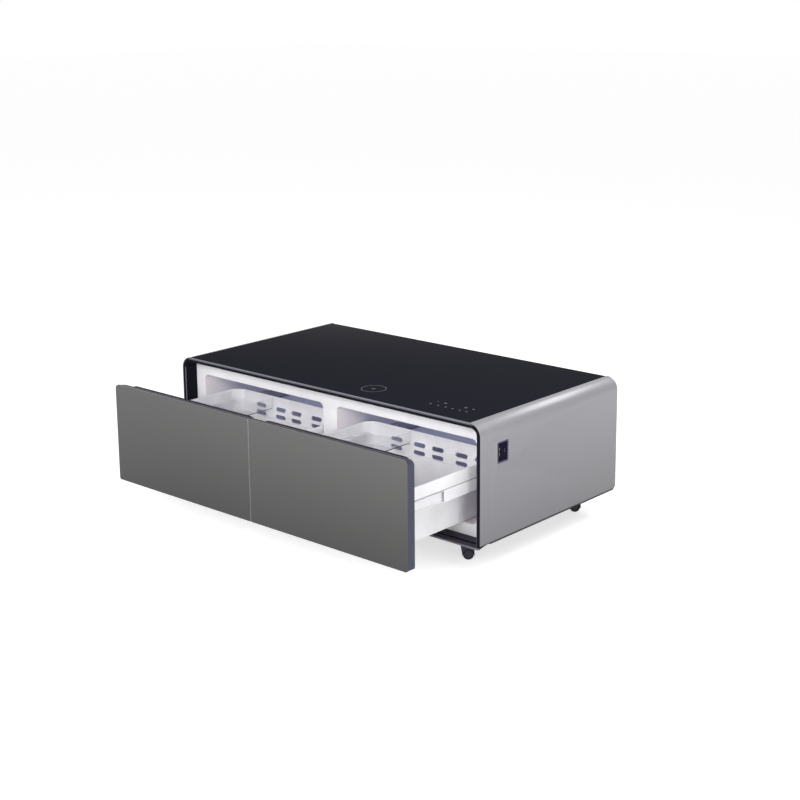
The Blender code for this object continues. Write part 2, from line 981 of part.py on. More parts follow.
def make_drawer_front(side, word, drawer):
    glass = prism(front_outline(side, 0, 0), "Y", 0, front_glass_thickness)
    piece(word + "_front_glass", glass, "grey_glass", drawer)
    carrier_front = front_glass_thickness + fit_gap
    carrier = skin(
        [
            place(front_outline(side, carrier_inset, 0), "Y", carrier_front),
            place(front_outline(side, carrier_inset, front_top_slope), "Y", front_thickness),
        ]
    )
    piece(word + "_front_carrier", carrier, "slate_plastic", drawer)
    plug_low = front_thickness + fit_gap
    plug = prism(plug_outline(side, 0), "Y", plug_low, plug_low + plug_thickness)
    piece(word + "_inner_door", plug, "white_plastic", drawer)
    inside = gasket_clearance
    outside = gasket_clearance + gasket_width
    back = recess_depth - fit_gap
    gasket = skin(
        [
            place(plug_outline(side, outside - gasket_bead), "Y", plug_low),
            place(plug_outline(side, outside), "Y", plug_low + gasket_bead),
            place(plug_outline(side, outside), "Y", back - gasket_bead),
            place(plug_outline(side, outside - gasket_bead), "Y", back),
            place(plug_outline(side, inside + gasket_bead), "Y", back),
            place(plug_outline(side, inside), "Y", back - gasket_bead),
            place(plug_outline(side, inside), "Y", plug_low + gasket_bead),
            place(plug_outline(side, inside + gasket_bead), "Y", plug_low),
        ],
        endless=True,
    )
    piece(word + "_gasket", gasket, "black_rubber", drawer)


def bin_ring(side, half, end_inset, radius, height, shrink=0.0):
    """One level of a bin: half its width, its inset at the ends, its corners, its height."""
    centre = side * drawer_centre_x
    reach = half - shrink
    outline = rounded(
        centre - reach,
        centre + reach,
        bin_front_y + end_inset + shrink,
        bin_back_y - end_inset - shrink,
        even(radius - shrink),
    )
    return place(outline, "Z", height)


def slot_cutters(side):
    """Rows of round-ended air slots through the back wall, in pairs."""
    centre = side * drawer_centre_x
    straight = middle_half - middle_radius
    cutters = []
    for pair in range(-2, 3):
        for place_in_pair in (-1, 1):
            offset = slot_pattern_offset + pair * slot_pair_pitch
            offset += place_in_pair * slot_pair_spacing / 2
            if abs(offset) + slot_length / 2 > straight:
                continue
            for row in range(2):
                middle_z = middle_top_z - slot_top_drop - row * slot_row_spacing
                outline = rounded(
                    centre + offset - slot_length / 2,
                    centre + offset + slot_length / 2,
                    middle_z - slot_height / 2,
                    middle_z + slot_height / 2,
                    even(slot_height / 2 - fit_gap),
                    slot_steps,
                )
                near = bin_back_y - middle_end_inset - bin_wall - overrun
                cutters.append(prism(outline, "Y", near, bin_back_y + overrun))
    return cutters


def make_bin(side, word, drawer):
    """A moulded tub in three steps: a lower box, a band for the slides, and a wide collar."""
    end_lower = middle_end_inset + lower_end_inset
    floor_z = bin_low_z + bin_wall
    step_top_z = lower_top_z + bin_step_rise
    narrow_half = middle_half - fit_gap
    round_in = bin_bottom_round
    rings = [
        bin_ring(side, lower_half, end_lower, lower_radius, bin_low_z, round_in),
        bin_ring(side, lower_half, end_lower, lower_radius, bin_low_z + round_in),
        bin_ring(side, lower_half, end_lower, lower_radius, lower_top_z),
        bin_ring(side, narrow_half, middle_end_inset, middle_radius, step_top_z),
        bin_ring(side, narrow_half, middle_end_inset, middle_radius, end_ledge_z),
        bin_ring(side, middle_half, fit_gap, middle_radius, end_ledge_z),
        bin_ring(side, middle_half, fit_gap, middle_radius, middle_top_z),
        bin_ring(side, collar_half, 0, collar_radius, middle_top_z),
        bin_ring(side, collar_half, 0, collar_radius, rim_z),
        bin_ring(side, collar_half, 0, collar_radius, rim_z, bin_wall),
        bin_ring(side, collar_half, 0, collar_radius, middle_top_z + bin_wall, bin_wall),
        bin_ring(side, middle_half, fit_gap, middle_radius, middle_top_z + bin_wall, bin_wall),
        bin_ring(side, middle_half, fit_gap, middle_radius, end_ledge_z + bin_wall, bin_wall),
        bin_ring(side, narrow_half, middle_end_inset, middle_radius, end_ledge_z + bin_wall, bin_wall),
        bin_ring(side, narrow_half, middle_end_inset, middle_radius, step_top_z + bin_wall, bin_wall),
        bin_ring(side, lower_half, end_lower, lower_radius, lower_top_z + bin_wall, bin_wall),
        bin_ring(side, lower_half, end_lower, lower_radius, floor_z + round_in, bin_wall),
        bin_ring(side, lower_half, end_lower, lower_radius, floor_z, bin_wall + round_in),
    ]
    piece(word + "_bin", cut(skin(rings), *slot_cutters(side)), "white_plastic", drawer)


def make_tray(side, word, parent):
    """Clear tray that lies on the ledges at the bin's two ends and slides along them."""
    low_x = side * drawer_centre_x - middle_half + bin_wall + tray_gap
    front = bin_front_y + bin_wall + tray_gap
    back = bin_back_y - bin_wall - tray_gap
    low_z = end_ledge_z + bin_wall + fit_gap
    high_z = low_z + tray_height
    left = middle_radius - bin_wall - tray_gap
    right = tray_right_radius

    def ring(inset, height):
        radii = (left - inset, right - inset, right - inset, left - inset)
        outline = rounded(low_x + inset, low_x + tray_width - inset, front + inset, back - inset, radii)
        return place(outline, "Z", height)

    mesh = open_box(
        [
            ring(tray_draft, low_z),
            ring(tray_lip, high_z - tray_lip),
            ring(0, high_z - tray_lip),
            ring(0, high_z),
        ],
        [ring(tray_wall, high_z), ring(tray_wall + tray_draft, low_z + tray_wall)],
    )
    piece(word + "_clear_tray", mesh, "clear_plastic", parent)


def channel(web_near, web_far, lip_end, low_z, high_z):
    """Section of a rail: an upright web and two flanges that run from it to lip_end."""
    if lip_end > web_far:
        return [
            (web_near, low_z),
            (lip_end, low_z),
            (lip_end, low_z + rail_sheet),
            (web_far, low_z + rail_sheet),
            (web_far, high_z - rail_sheet),
            (lip_end, high_z - rail_sheet),
            (lip_end, high_z),
            (web_near, high_z),
        ]
    return [
        (lip_end, low_z),
        (web_far, low_z),
        (web_far, high_z),
        (lip_end, high_z),
        (lip_end, high_z - rail_sheet),
        (web_near, high_z - rail_sheet),
        (web_near, low_z + rail_sheet),
        (lip_end, low_z + rail_sheet),
    ]


def rail(wall_x, inward, outline):
    """A rail on a compartment's side wall: distances in the outline are measured in from the wall."""
    section = [(wall_x + inward * distance, height) for distance, height in outline]
    start = recess_depth + rail_front_space
    return prism(section, "Y", start, start + rail_length)


def make_rails(side, word, cabinet, drawer):
    """Two telescopic slides for a drawer, each of three nested channels."""
    low = lower_top_z + bin_step_rise + fit_gap
    high = middle_top_z - fit_gap
    step = rail_sheet + rail_play
    for hand, hand_word in ((-1, "a"), (1, "b")):
        wall_x = side * drawer_centre_x + hand * (opening_half - fit_gap)
        fixed = channel(0, rail_sheet, rail_depth - rail_end_play, low, high)
        middle_end = rail_depth - rail_end_play - rail_play
        middle = channel(step, step + rail_sheet, middle_end, low + step, high - step)
        moving = channel(rail_depth - rail_sheet, rail_depth, 2 * step, low + 2 * step, high - 2 * step)
        piece(word + "_fixed_rail_" + hand_word, rail(wall_x, -hand, fixed), "zinc_steel", cabinet)
        piece(word + "_drawer_rail_" + hand_word, rail(wall_x, -hand, moving), "white_steel", drawer)
        halfway = empty(word + "_middle_rail_" + hand_word + "_travel", (0, -drawer_pull / 2, 0), cabinet)
        piece(word + "_middle_rail_" + hand_word, rail(wall_x, -hand, middle), "white_steel", halfway)


def make_drawer(side, word, cabinet):
    drawer = empty(word + "_drawer", (0, -drawer_pull, 0), cabinet)
    make_drawer_front(side, word, drawer)
    make_bin(side, word, drawer)
    make_rails(side, word, cabinet, drawer)
    make_tray(side, word, empty(word + "_tray_travel", (0, 0, 0), drawer))


# Machinery


def superellipse(half_u, half_v, steps=20):
    """A soft-cornered oval about the origin."""
    points = []
    for step in range(steps):
        angle = math.tau * step / steps
        across = math.copysign(math.sqrt(abs(math.cos(angle))), math.cos(angle))
        along = math.copysign(math.sqrt(abs(math.sin(angle))), math.sin(angle))
        blend_share = 0.5
        points.append(
            (
                half_u * (blend_share * math.cos(angle) + (1 - blend_share) * across),
                half_v * (blend_share * math.sin(angle) + (1 - blend_share) * along),
            )
        )
    return points


def make_compressor(cabinet):
    """A hermetic can with domed ends, on four rubber feet."""
    low = pan_floor_z + fit_gap
    base = low + compressor_foot_height
    high = low + compressor_height
    rings = []
    for step in range(compressor_rings + 1):
        share = step / compressor_rings
        along_share = compressor_end_share + (1 - 2 * compressor_end_share) * share
        swell = math.sin(math.pi * along_share) ** compressor_swell_power_share
        outline = [
            (compressor_x + u * swell, machine_y + v * swell)
            for u, v in superellipse(compressor_length / 2, compressor_depth / 2)
        ]
        rings.append(place(outline, "Z", base + (high - base) * share))
    can = skin(rings)
    feet = []
    for across in (-1, 1):
        for along in (-1, 1):
            centre = (
                compressor_x + across * compressor_length * compressor_foot_spread_share,
                machine_y + along * compressor_depth * compressor_foot_spread_share,
            )
            foot_top = base + compressor_foot_height
            foot = [(low, compressor_foot_radius), (foot_top, compressor_foot_radius)]
            feet.append(turned("Z", centre, foot, wheel_steps // 2))
    piece("compressor", joined(can, *feet), "black_steel", cabinet)


def make_drain_tray(cabinet):
    """A shallow tray on the compressor, where meltwater dries off."""
    low = pan_floor_z + fit_gap + compressor_height + fit_gap

    def ring(inset, height):
        outline = rounded(
            compressor_x - drain_length / 2 + inset,
            compressor_x + drain_length / 2 - inset,
            machine_y - drain_depth / 2 + inset,
            machine_y + drain_depth / 2 - inset,
            even(drain_radius - inset),
        )
        return place(outline, "Z", height)

    mesh = open_box(
        [ring(0, low), ring(0, low + drain_height)],
        [ring(drain_wall, low + drain_height), ring(drain_wall, low + drain_wall)],
    )
    piece("drain_tray", mesh, "dark_plastic", cabinet)


def make_condenser(cabinet):
    """A spine with upright fins along it, as one comb."""
    low = pan_floor_z + fit_gap
    start = condenser_x - condenser_length / 2
    pitch = condenser_length / condenser_fins
    front = machine_y - condenser_depth / 2
    back = machine_y + condenser_depth / 2
    outline = [(start, front), (start + condenser_length, front), (start + condenser_length, back)]
    for fin in reversed(range(condenser_fins)):
        root = front + condenser_spine
        right = start + pitch * (fin + 1)
        left = right - pitch * condenser_fin_share
        if fin + 1 < condenser_fins:
            outline += [(right, root), (right, back)]
        outline += [(left, back), (left, root)]
    outline.append((start, front + condenser_spine))
    piece("condenser", prism(outline, "Z", low, low + condenser_height), "aluminium", cabinet)


def make_fan(cabinet):
    """An axial fan that blows along X: a square shroud that holds the motor, and its rotor."""
    low = pan_floor_z + fit_gap
    centre_z = low + fan_size / 2
    half = fan_size / 2
    corners = math.radians(45)
    front_x = fan_x - fan_depth / 2
    back_x = fan_x + fan_depth / 2

    def ring(square, distance):
        outline = []
        for step in range(wheel_steps):
            angle = corners + math.tau * step / wheel_steps
            if square:
                stretch = half / max(abs(math.cos(angle)), abs(math.sin(angle)))
            else:
                stretch = fan_ring_radius
            outline.append((machine_y + stretch * math.cos(angle), centre_z + stretch * math.sin(angle)))
        return place(outline, "X", distance)

    frame = skin(
        [ring(True, front_x), ring(True, back_x), ring(False, back_x), ring(False, front_x)],
        endless=True,
    )
    centre = (machine_y, centre_z)
    motor_end = back_x - fan_strut_depth / 2
    hub_front = front_x + fan_strut_depth
    motor = turned(
        "X",
        centre,
        [(front_x, fan_motor_radius), (motor_end - fan_strut_depth, fan_motor_radius)],
        wheel_steps,
    )
    reach = fan_ring_radius + fan_strut_width / 2
    struts = [
        block(
            front_x,
            front_x + fan_strut_depth - fan_tip_gap,
            machine_y - reach,
            machine_y + reach,
            centre_z - fan_strut_width / 2,
            centre_z + fan_strut_width / 2,
        ),
        block(
            front_x,
            front_x + fan_strut_depth - fan_tip_gap,
            machine_y - fan_strut_width / 2,
            machine_y + fan_strut_width / 2,
            centre_z - reach,
            centre_z + reach,
        ),
    ]
    piece("fan_shroud", joined(frame, motor, *struts), "dark_plastic", cabinet)
    spin = empty("fan_spin", (fan_x, machine_y, centre_z), cabinet)
    hub_cut_radius = fan_motor_radius + fit_gap
    local_front = hub_front - fan_x
    local_end = motor_end - fan_x
    cup = turned("X", (0, 0), [(local_front, fan_hub_radius), (local_end, fan_hub_radius)], wheel_steps)
    blades = []
    middle = (local_front + local_end) / 2
    sweep = (local_end - local_front - fan_blade_thickness * 2) / 2
    tip = fan_ring_radius - fan_tip_gap
    root = (fan_hub_radius + hub_cut_radius) / 2
    turn = sweep * math.tan(math.radians(90 - fan_blade_pitch)) / 2
    for blade in range(fan_blades):
        angle = math.tau * blade / fan_blades
        radial = Vector((0, math.cos(angle), math.sin(angle)))
        around = Vector((0, -math.sin(angle), math.cos(angle)))
        along = Vector((1, 0, 0))
        rings = []
        for distance in (root, math.sqrt(tip * tip - (turn + fan_blade_thickness) ** 2)):
            twist = turn * distance / tip
            near = radial * distance + along * (middle - sweep) - around * twist
            far = radial * distance + along * (middle + sweep) + around * twist
            thick = around * fan_blade_thickness
            rings.append([near, far, far + thick, near + thick])
        blades.append(skin(rings))
    hollow = turned(
        "X",
        (0, 0),
        [(local_front - overrun, hub_cut_radius), (local_end - fan_hub_wall, hub_cut_radius)],
        wheel_steps,
    )
    piece("fan_rotor", cut(joined(cup, *blades), hollow), "dark_plastic", spin)


def make_control_box(cabinet):
    low = pan_floor_z + fit_gap
    outline = rounded(
        control_x - control_length / 2,
        control_x + control_length / 2,
        machine_y - control_depth / 2,
        machine_y + control_depth / 2,
        even(control_radius),
        2,
    )
    piece("control_box", prism(outline, "Z", low, low + control_height), "dark_plastic", cabinet)


# Castors


def hood_mesh():
    """Upright hood over twin wheels, with the web between them that holds the axle and the stem."""
    top = -caster_plate_thickness - caster_race_height - fit_gap
    wheel_z = wheel_radius - (base_height - fit_gap)
    inner = wheel_radius + hood_wheel_gap
    outer = inner + hood_shell
    centre = hood_top_half - hood_top_radius
    outline = (
        [(caster_trail + outer, wheel_z - hood_skirt), (caster_trail + outer, wheel_z)]
        + arc(centre, top - hood_top_radius, hood_top_radius, 0, 90)
        + arc(-centre, top - hood_top_radius, hood_top_radius, 90, 180)
        + [(caster_trail - outer, wheel_z), (caster_trail - outer, wheel_z - hood_skirt)]
    )
    lug = block(
        -hood_web,
        hood_web,
        caster_trail - hood_lug,
        caster_trail + hood_lug,
        wheel_z - hood_lug,
        wheel_z + hood_lug,
    )
    dome = joined(prism(outline, "X", -hood_width / 2, hood_width / 2), lug)
    hub = (caster_trail, wheel_z)
    wheel_space = [
        turned("X", hub, [(low, inner), (high, inner)], wheel_steps, -90)
        for low, high in (
            (-hood_width / 2 - overrun, -hood_web / 2),
            (hood_web / 2, hood_width / 2 + overrun),
        )
    ]
    stem_bore = caster_stem_radius + fit_gap
    stem_ends = [(top - caster_stem_length, stem_bore), (top + overrun, stem_bore)]
    stem_space = turned("Z", (0, 0), stem_ends, wheel_steps)
    axle_bore = axle_radius + fit_gap
    axle_space = turned("X", hub, [(-hood_web, axle_bore), (hood_web, axle_bore)], wheel_steps, -90)
    return cut(dome, *wheel_space, stem_space, axle_space)


def wheels_mesh():
    """Twin wheels on their axle, about the axle's middle."""
    near = hood_web / 2 + wheel_web_gap
    far = near + wheel_width
    half = [
        (near - fit_gap, axle_radius),
        (near, wheel_radius - wheel_edge),
        (near + wheel_edge, wheel_radius),
        (far - wheel_edge, wheel_radius),
        (far, wheel_face_radius),
        (far - wheel_dish, wheel_face_radius - wheel_edge),
    ]
    profile = [(-distance, radius) for distance, radius in reversed(half)] + half
    return turned("X", (0, 0), profile, wheel_steps, -90)


def plate_mesh():
    """Fixed plate with its race and stem, hung from the pan's underside."""
    plate_low = -caster_plate_thickness
    race_low = plate_low - caster_race_height
    profile = [
        (race_low - caster_stem_length, caster_stem_radius),
        (race_low, caster_stem_radius),
        (race_low + fit_gap, caster_race_radius),
        (plate_low, caster_race_radius),
        (plate_low + fit_gap, caster_plate_radius),
        (0, caster_plate_radius),
    ]
    return turned("Z", (0, 0), profile, wheel_steps)


def make_casters(cabinet):
    """Four castors, all turned alike, as they trail after the table is rolled into place."""
    plate = plate_mesh()
    hood = hood_mesh()
    wheels = wheels_mesh()
    for word, side, distance in (
        ("front_left", -1, caster_front_y),
        ("front_right", 1, caster_front_y),
        ("back_left", -1, caster_back_y),
        ("back_right", 1, caster_back_y),
    ):
        spot = (side * (half_width - caster_inset_x), distance, base_height - fit_gap)
        seat = empty(word + "_caster", spot, cabinet)
        piece(word + "_caster_plate", plate.copy(), "zinc_steel", seat)
        swivel = empty(word + "_caster_swivel", (0, 0, 0), seat)
        swivel.rotation_euler = (0, 0, math.radians(caster_rest_angle))
        piece(word + "_caster_hood", hood.copy(), "caster_plastic", swivel)
        roll = empty(word + "_caster_roll", (0, caster_trail, wheel_radius - base_height + fit_gap), swivel)
        piece(word + "_caster_wheels", wheels.copy(), "black_rubber", roll)


def build():
    clear_scene()
    make_finishes()
    cabinet = empty("cabinet", (0, front_plane_y, 0))
    make_side_panels(cabinet)
    make_glass_top(cabinet)
    make_front_frame(cabinet)
    make_liner(cabinet)
    make_insulation(cabinet)
    make_base_pan(cabinet)
    make_top_deck(cabinet)
    make_wireless_charger(cabinet)
    make_touch_board(cabinet)
    make_back_panel(cabinet)
    make_power_inlet(cabinet)
    make_socket(cabinet)
    make_evaporators(cabinet)
    make_drawer(-1, "left", cabinet)
    make_drawer(1, "right", cabinet)
    make_compressor(cabinet)
    make_drain_tray(cabinet)
    make_condenser(cabinet)
    make_fan(cabinet)
    make_control_box(cabinet)
    make_casters(cabinet)


build()
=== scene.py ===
"""Looks for the refrigerated coffee table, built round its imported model."""

import json
import math

import bmesh
import bpy
from mathutils import Matrix, Vector


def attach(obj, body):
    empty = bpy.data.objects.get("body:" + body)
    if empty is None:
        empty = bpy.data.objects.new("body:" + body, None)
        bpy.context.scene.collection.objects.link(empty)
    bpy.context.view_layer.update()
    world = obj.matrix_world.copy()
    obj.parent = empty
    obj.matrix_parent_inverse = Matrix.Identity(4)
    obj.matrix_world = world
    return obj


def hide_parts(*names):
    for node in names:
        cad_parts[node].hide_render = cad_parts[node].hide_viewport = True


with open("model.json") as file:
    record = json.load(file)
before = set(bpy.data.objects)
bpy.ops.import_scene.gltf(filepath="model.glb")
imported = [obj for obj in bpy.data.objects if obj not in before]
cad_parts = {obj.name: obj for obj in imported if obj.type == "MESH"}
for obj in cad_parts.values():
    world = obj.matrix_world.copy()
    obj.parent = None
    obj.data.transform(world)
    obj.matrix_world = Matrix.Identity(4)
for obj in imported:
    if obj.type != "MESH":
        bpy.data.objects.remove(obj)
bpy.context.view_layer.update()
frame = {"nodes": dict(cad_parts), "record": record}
nodes = frame["nodes"]

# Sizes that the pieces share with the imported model, in metres. First the cabinet

table_width = 1.300
table_depth = 0.700
table_height = 0.450
front_plane = -0.200
drawer_plane = -0.500
fit_gap = 0.0003
sheet = 0.0015
shoulder_radius = 0.040
half_width = table_width / 2
shoulder_x = half_width - shoulder_radius
shoulder_z = table_height - shoulder_radius
inside_x = half_width - sheet - fit_gap
inside_radius = shoulder_radius - sheet - fit_gap
side_bottom = 0.081
base_height = 0.076
recess_depth = 0.050
glass_low = 0.445
seat_top = glass_low - fit_gap
seat_low = seat_top - sheet
glass_front = 0.008
glass_back = 0.6942
back_panel = 0.6945

# How far the print stands above the glass top's face

lift = 0.00005

# The ring round the drawers, and the drawer fronts

frame_top = table_height - sheet - fit_gap
frame_bottom = 0.068
frame_foot_radius = 0.012
inner_foot_radius = 0.004
inner_top_radius = 0.022
frame_inner_x = inside_x - 0.0132
frame_inner_top = frame_top - 0.0137
front_low = 0.090
front_high = frame_inner_top - 0.0195
front_glass = 0.004
carrier_back = 0.033

# The compartments, the bins and the trays

drawer_x = 0.31275
opening_half = 0.28275
opening_low = 0.1215
opening_high = 0.384
opening_radius = 0.018
cavity_back = 0.5225
bin_front = 0.044
bin_back = 0.4975
bin_wall = 0.003
bin_low = 0.124
lower_top = 0.2265
middle_top = 0.2695
end_ledge = middle_top - 0.0063
rim = 0.3085
collar_half = opening_half - 0.0025
middle_half = opening_half - 0.0133
lower_half = middle_half - 0.0337
collar_radius = 0.045
middle_radius = 0.040
lower_radius = 0.030

# The charging plate on the right side: its middle, its half sizes and its ports' half sizes

plate_at = (0.105, 0.3475)
plate_half = (0.026, 0.0325)
plate_radius = 0.005
plate_thickness = 0.003
port_half = (0.0026, 0.00625)

# The casters, each drawn about the middle of its fixed plate's top

caster_x = half_width - 0.109
caster_top = base_height - fit_gap
race_top = -0.0025
race_foot = race_top - 0.004
wheel_radius = 0.0165
axle_y = 0.004
wheel_z = wheel_radius - caster_top


# Outlines and meshes


def arc(u, v, radius, start, end, steps=12):
    angles = [math.radians(start + (end - start) * step / steps) for step in range(steps + 1)]
    return [(u + radius * math.cos(a), v + radius * math.sin(a)) for a in angles]


def rounded(low_u, high_u, low_v, high_v, radii, steps=12):
    a, b, c, d = radii if isinstance(radii, tuple) else (radii,) * 4
    return (
        arc(low_u + a, low_v + a, a, 180, 270, steps)
        + arc(high_u - b, low_v + b, b, 270, 360, steps)
        + arc(high_u - c, high_v - c, c, 0, 90, steps)
        + arc(low_u + d, high_v - d, d, 90, 180, steps)
    )


def quarter(steps):
    """Steps round a soft edge: the share by which each stands in, and the share of its depth."""
    angles = [math.radians(90 * step / steps) for step in range(steps + 1)]
    return [(1 - math.sin(a), 1 - math.cos(a)) for a in angles]


def place(outline, axis, distance):
    if axis == "X":
        return [Vector((distance, u, v)) for u, v in outline]
    if axis == "Y":
        return [Vector((u, distance, v)) for u, v in outline]
    return [Vector((u, v, distance)) for u, v in outline]


def skin(rings, endless=False):
    """Join rings of as many points each. The ends are capped, or meet where the skin is endless."""
    work = bmesh.new()
    rows = [[work.verts.new(point) for point in ring] for ring in rings]
    pairs = list(zip(rows, rows[1:])) + ([(rows[-1], rows[0])] if endless else [])
    count = len(rows[0])
    for low, high in pairs:
        for start in range(count):
            end = (start + 1) % count
            work.faces.new((low[start], low[end], high[end], high[start]))
    if not endless:
        work.faces.new(rows[0][::-1])
        work.faces.new(rows[-1])
    bmesh.ops.recalc_face_normals(work, faces=work.faces)
    if work.calc_volume(signed=True) < 0:
        bmesh.ops.reverse_faces(work, faces=work.faces)
    mesh = bpy.data.meshes.new("shape")
    work.to_mesh(mesh)
    work.free()
    return mesh


def prism(outline, axis, low, high):
    return skin([place(outline, axis, low), place(outline, axis, high)])


def pillow(make_ring, low, high, edge, steps=4):
    """A slab between two distances with round edges: make_ring(inset, distance) draws each level."""
    levels = [(edge * inset, edge * depth) for inset, depth in quarter(steps)]
    rings = [make_ring(inset, low + depth) for inset, depth in levels]
    rings += [make_ring(inset, high - depth) for inset, depth in reversed(levels)]
    return skin(rings)


def block(low_x, high_x, low_y, high_y, low_z, high_z):
    outline = [(low_x, low_y), (high_x, low_y), (high_x, high_y), (low_x, high_y)]
    return prism(outline, "Z", low_z, high_z)


def turned(axis, centre, profile, steps=48, endless=False):
    """Turn a profile of (distance along the axis, radius) about an axis through a centre."""
    u, v = centre
    angles = [math.tau * step / steps for step in range(steps)]
    rings = []
    for distance, radius in profile:
        circle = [(u + radius * math.cos(a), v + radius * math.sin(a)) for a in angles]
        rings.append(place(circle, axis, distance))
    return skin(rings, endless)


def finished(mesh, *modifiers):
    """The mesh with modifiers applied: each is (type, settings)."""
    body = bpy.data.objects.new("body", mesh)
    bpy.context.scene.collection.objects.link(body)
    for kind, settings in modifiers:
        modifier = body.modifiers.new("change", kind)
        for key, value in settings.items():
            setattr(modifier, key, value)
    bpy.context.view_layer.update()
    made = bpy.data.meshes.new_from_object(body.evaluated_get(bpy.context.evaluated_depsgraph_get()))
    bpy.data.objects.remove(body, do_unlink=True)
    return made


def bevelled(mesh, width, angle):
    """The mesh with the edges bevelled that are sharper than an angle."""
    settings = {
        "width": width,
        "segments": 2,
        "limit_method": "ANGLE",
        "angle_limit": math.radians(angle),
    }
    return finished(mesh, ("BEVEL", settings))


def combined(mesh, operation, others):
    tools = []
    modifiers = []
    for other in others:
        tool = bpy.data.objects.new("tool", other)
        bpy.context.scene.collection.objects.link(tool)
        modifiers.append(("BOOLEAN", {"operation": operation, "solver": "EXACT", "object": tool}))
        tools.append(tool)
    made = finished(mesh, *modifiers)
    for tool in tools:
        bpy.data.objects.remove(tool, do_unlink=True)
    return made


def cut(mesh, *others):
    return combined(mesh, "DIFFERENCE", others)


def joined(mesh, *others):
    return combined(mesh, "UNION", others)


def gathered(*meshes):
    """Several closed meshes as one mesh, each keeping its own faces."""
    work = bmesh.new()
    for mesh in meshes:
        work.from_mesh(mesh)
    made = bpy.data.meshes.new("shape")
    work.to_mesh(made)
    work.free()
    return made


def mirrored(mesh):
    made = mesh.copy()
    work = bmesh.new()
    work.from_mesh(made)
    for corner in work.verts:
        corner.co.x = -corner.co.x
    bmesh.ops.reverse_faces(work, faces=work.faces)
    work.to_mesh(made)
    work.free()
    return made


def eased(states, reach, steps=3):
    """Round the corners of a list of number tuples, each with a bend that starts a reach away."""
    made = [states[0]]
    for before, here, after in zip(states, states[1:], states[2:]):
        ends = []
        for other in (before, after):
            gap = math.dist(other, here)
            share = min(reach / gap, 0.45) if gap > 0 else 0
            ends.append([a + (b - a) * share for a, b in zip(here, other)])
        for step in range(steps + 1):
            t = step / steps
            bend = [
                (1 - t) ** 2 * a + 2 * t * (1 - t) * b + t * t * c
                for a, b, c in zip(ends[0], here, ends[1])
            ]
            made.append(tuple(bend))
    return made + [states[-1]]


# Tools for the looks

looks = {}


def surface(name, colour, roughness, metallic=0.0, **sockets):
    """A new look, kept under its name."""
    made = bpy.data.materials.new(name)
    made.use_nodes = True
    shader = made.node_tree.nodes["Principled BSDF"]
    values = {"Base Color": (*colour, 1), "Roughness": roughness, "Metallic": metallic}
    for socket, value in {**values, **sockets}.items():
        shader.inputs[socket].default_value = value
    looks[name] = made
    return made


def pattern(made, kind, scale, stretch=(1, 1, 1), **values):
    """A texture laid in the piece's own coordinates, with so many features to a metre."""
    tree = made.node_tree
    where = tree.nodes.new("ShaderNodeTexCoord")
    mapping = tree.nodes.new("ShaderNodeMapping")
    mapping.inputs["Scale"].default_value = [scale * share for share in stretch]
    tree.links.new(where.outputs["Object"], mapping.inputs["Vector"])
    texture = tree.nodes.new("ShaderNodeTex" + kind)
    texture.inputs["Scale"].default_value = 1
    for socket, value in values.items():
        texture.inputs[socket].default_value = value
    tree.links.new(mapping.outputs["Vector"], texture.inputs["Vector"])
    return texture.outputs["Distance" if kind == "Voronoi" else "Fac"]


def ranged(made, source, low, high, from_low=0.3, from_high=0.7):
    """Turn a source that runs between two values into one that runs from low to high."""
    node = made.node_tree.nodes.new("ShaderNodeMapRange")
    for socket, value in (("From Min", from_low), ("From Max", from_high), ("To Min", low), ("To Max", high)):
        node.inputs[socket].default_value = value
    made.node_tree.links.new(source, node.inputs["Value"])
    return node.outputs["Result"]


def drive(made, source, socket):
    made.node_tree.links.new(source, made.node_tree.nodes["Principled BSDF"].inputs[socket])


def tinted(made, source, dark, light):
    """Colour that runs from dark to light with a pattern."""
    ramp = made.node_tree.nodes.new("ShaderNodeValToRGB")
    ramp.color_ramp.elements[0].position = 0.3
    ramp.color_ramp.elements[1].position = 0.7
    ramp.color_ramp.elements[0].color = (*dark, 1)
    ramp.color_ramp.elements[1].color = (*light, 1)
    made.node_tree.links.new(source, ramp.inputs["Fac"])
    drive(made, ramp.outputs["Color"], "Base Color")


def bumped(made, source, distance, strength=1.0):
    node = made.node_tree.nodes.new("ShaderNodeBump")
    node.inputs["Distance"].default_value = distance
    node.inputs["Strength"].default_value = strength
    made.node_tree.links.new(source, node.inputs["Height"])
    drive(made, node.outputs["Normal"], "Normal")


def along(made, axis, low, high, at_low=0.0, at_high=1.0):
    """A value that changes evenly along an axis, between two places on it."""
    tree = made.node_tree
    where = tree.nodes.new("ShaderNodeTexCoord")
    parted = tree.nodes.new("ShaderNodeSeparateXYZ")
    tree.links.new(where.outputs["Object"], parted.inputs["Vector"])
    return ranged(made, parted.outputs[axis], at_low, at_high, low, high)


def graded(made, axis, low, high, first, last):
    """Colour that changes evenly along an axis. The last colour may come from another node."""
    tree = made.node_tree
    mix = tree.nodes.new("ShaderNodeMix")
    mix.data_type = "RGBA"
    tree.links.new(along(made, axis, low, high), mix.inputs[0])
    mix.inputs[6].default_value = (*first, 1)
    if isinstance(last, tuple):
        mix.inputs[7].default_value = (*last, 1)
    else:
        tree.links.new(last, mix.inputs[7])
    return mix.outputs[2]


def cloudy(made, colour, source, spread):
    """A colour multiplied by a pattern that swings round 1."""
    tree = made.node_tree
    node = tree.nodes.new("ShaderNodeVectorMath")
    node.operation = "SCALE"
    tree.links.new(colour, node.inputs[0])
    tree.links.new(ranged(made, source, 1 - spread, 1 + spread), node.inputs["Scale"])
    drive(made, node.outputs[0], "Base Color")


def shade(colour, share):
    return tuple(min(channel * share, 1) for channel in colour)


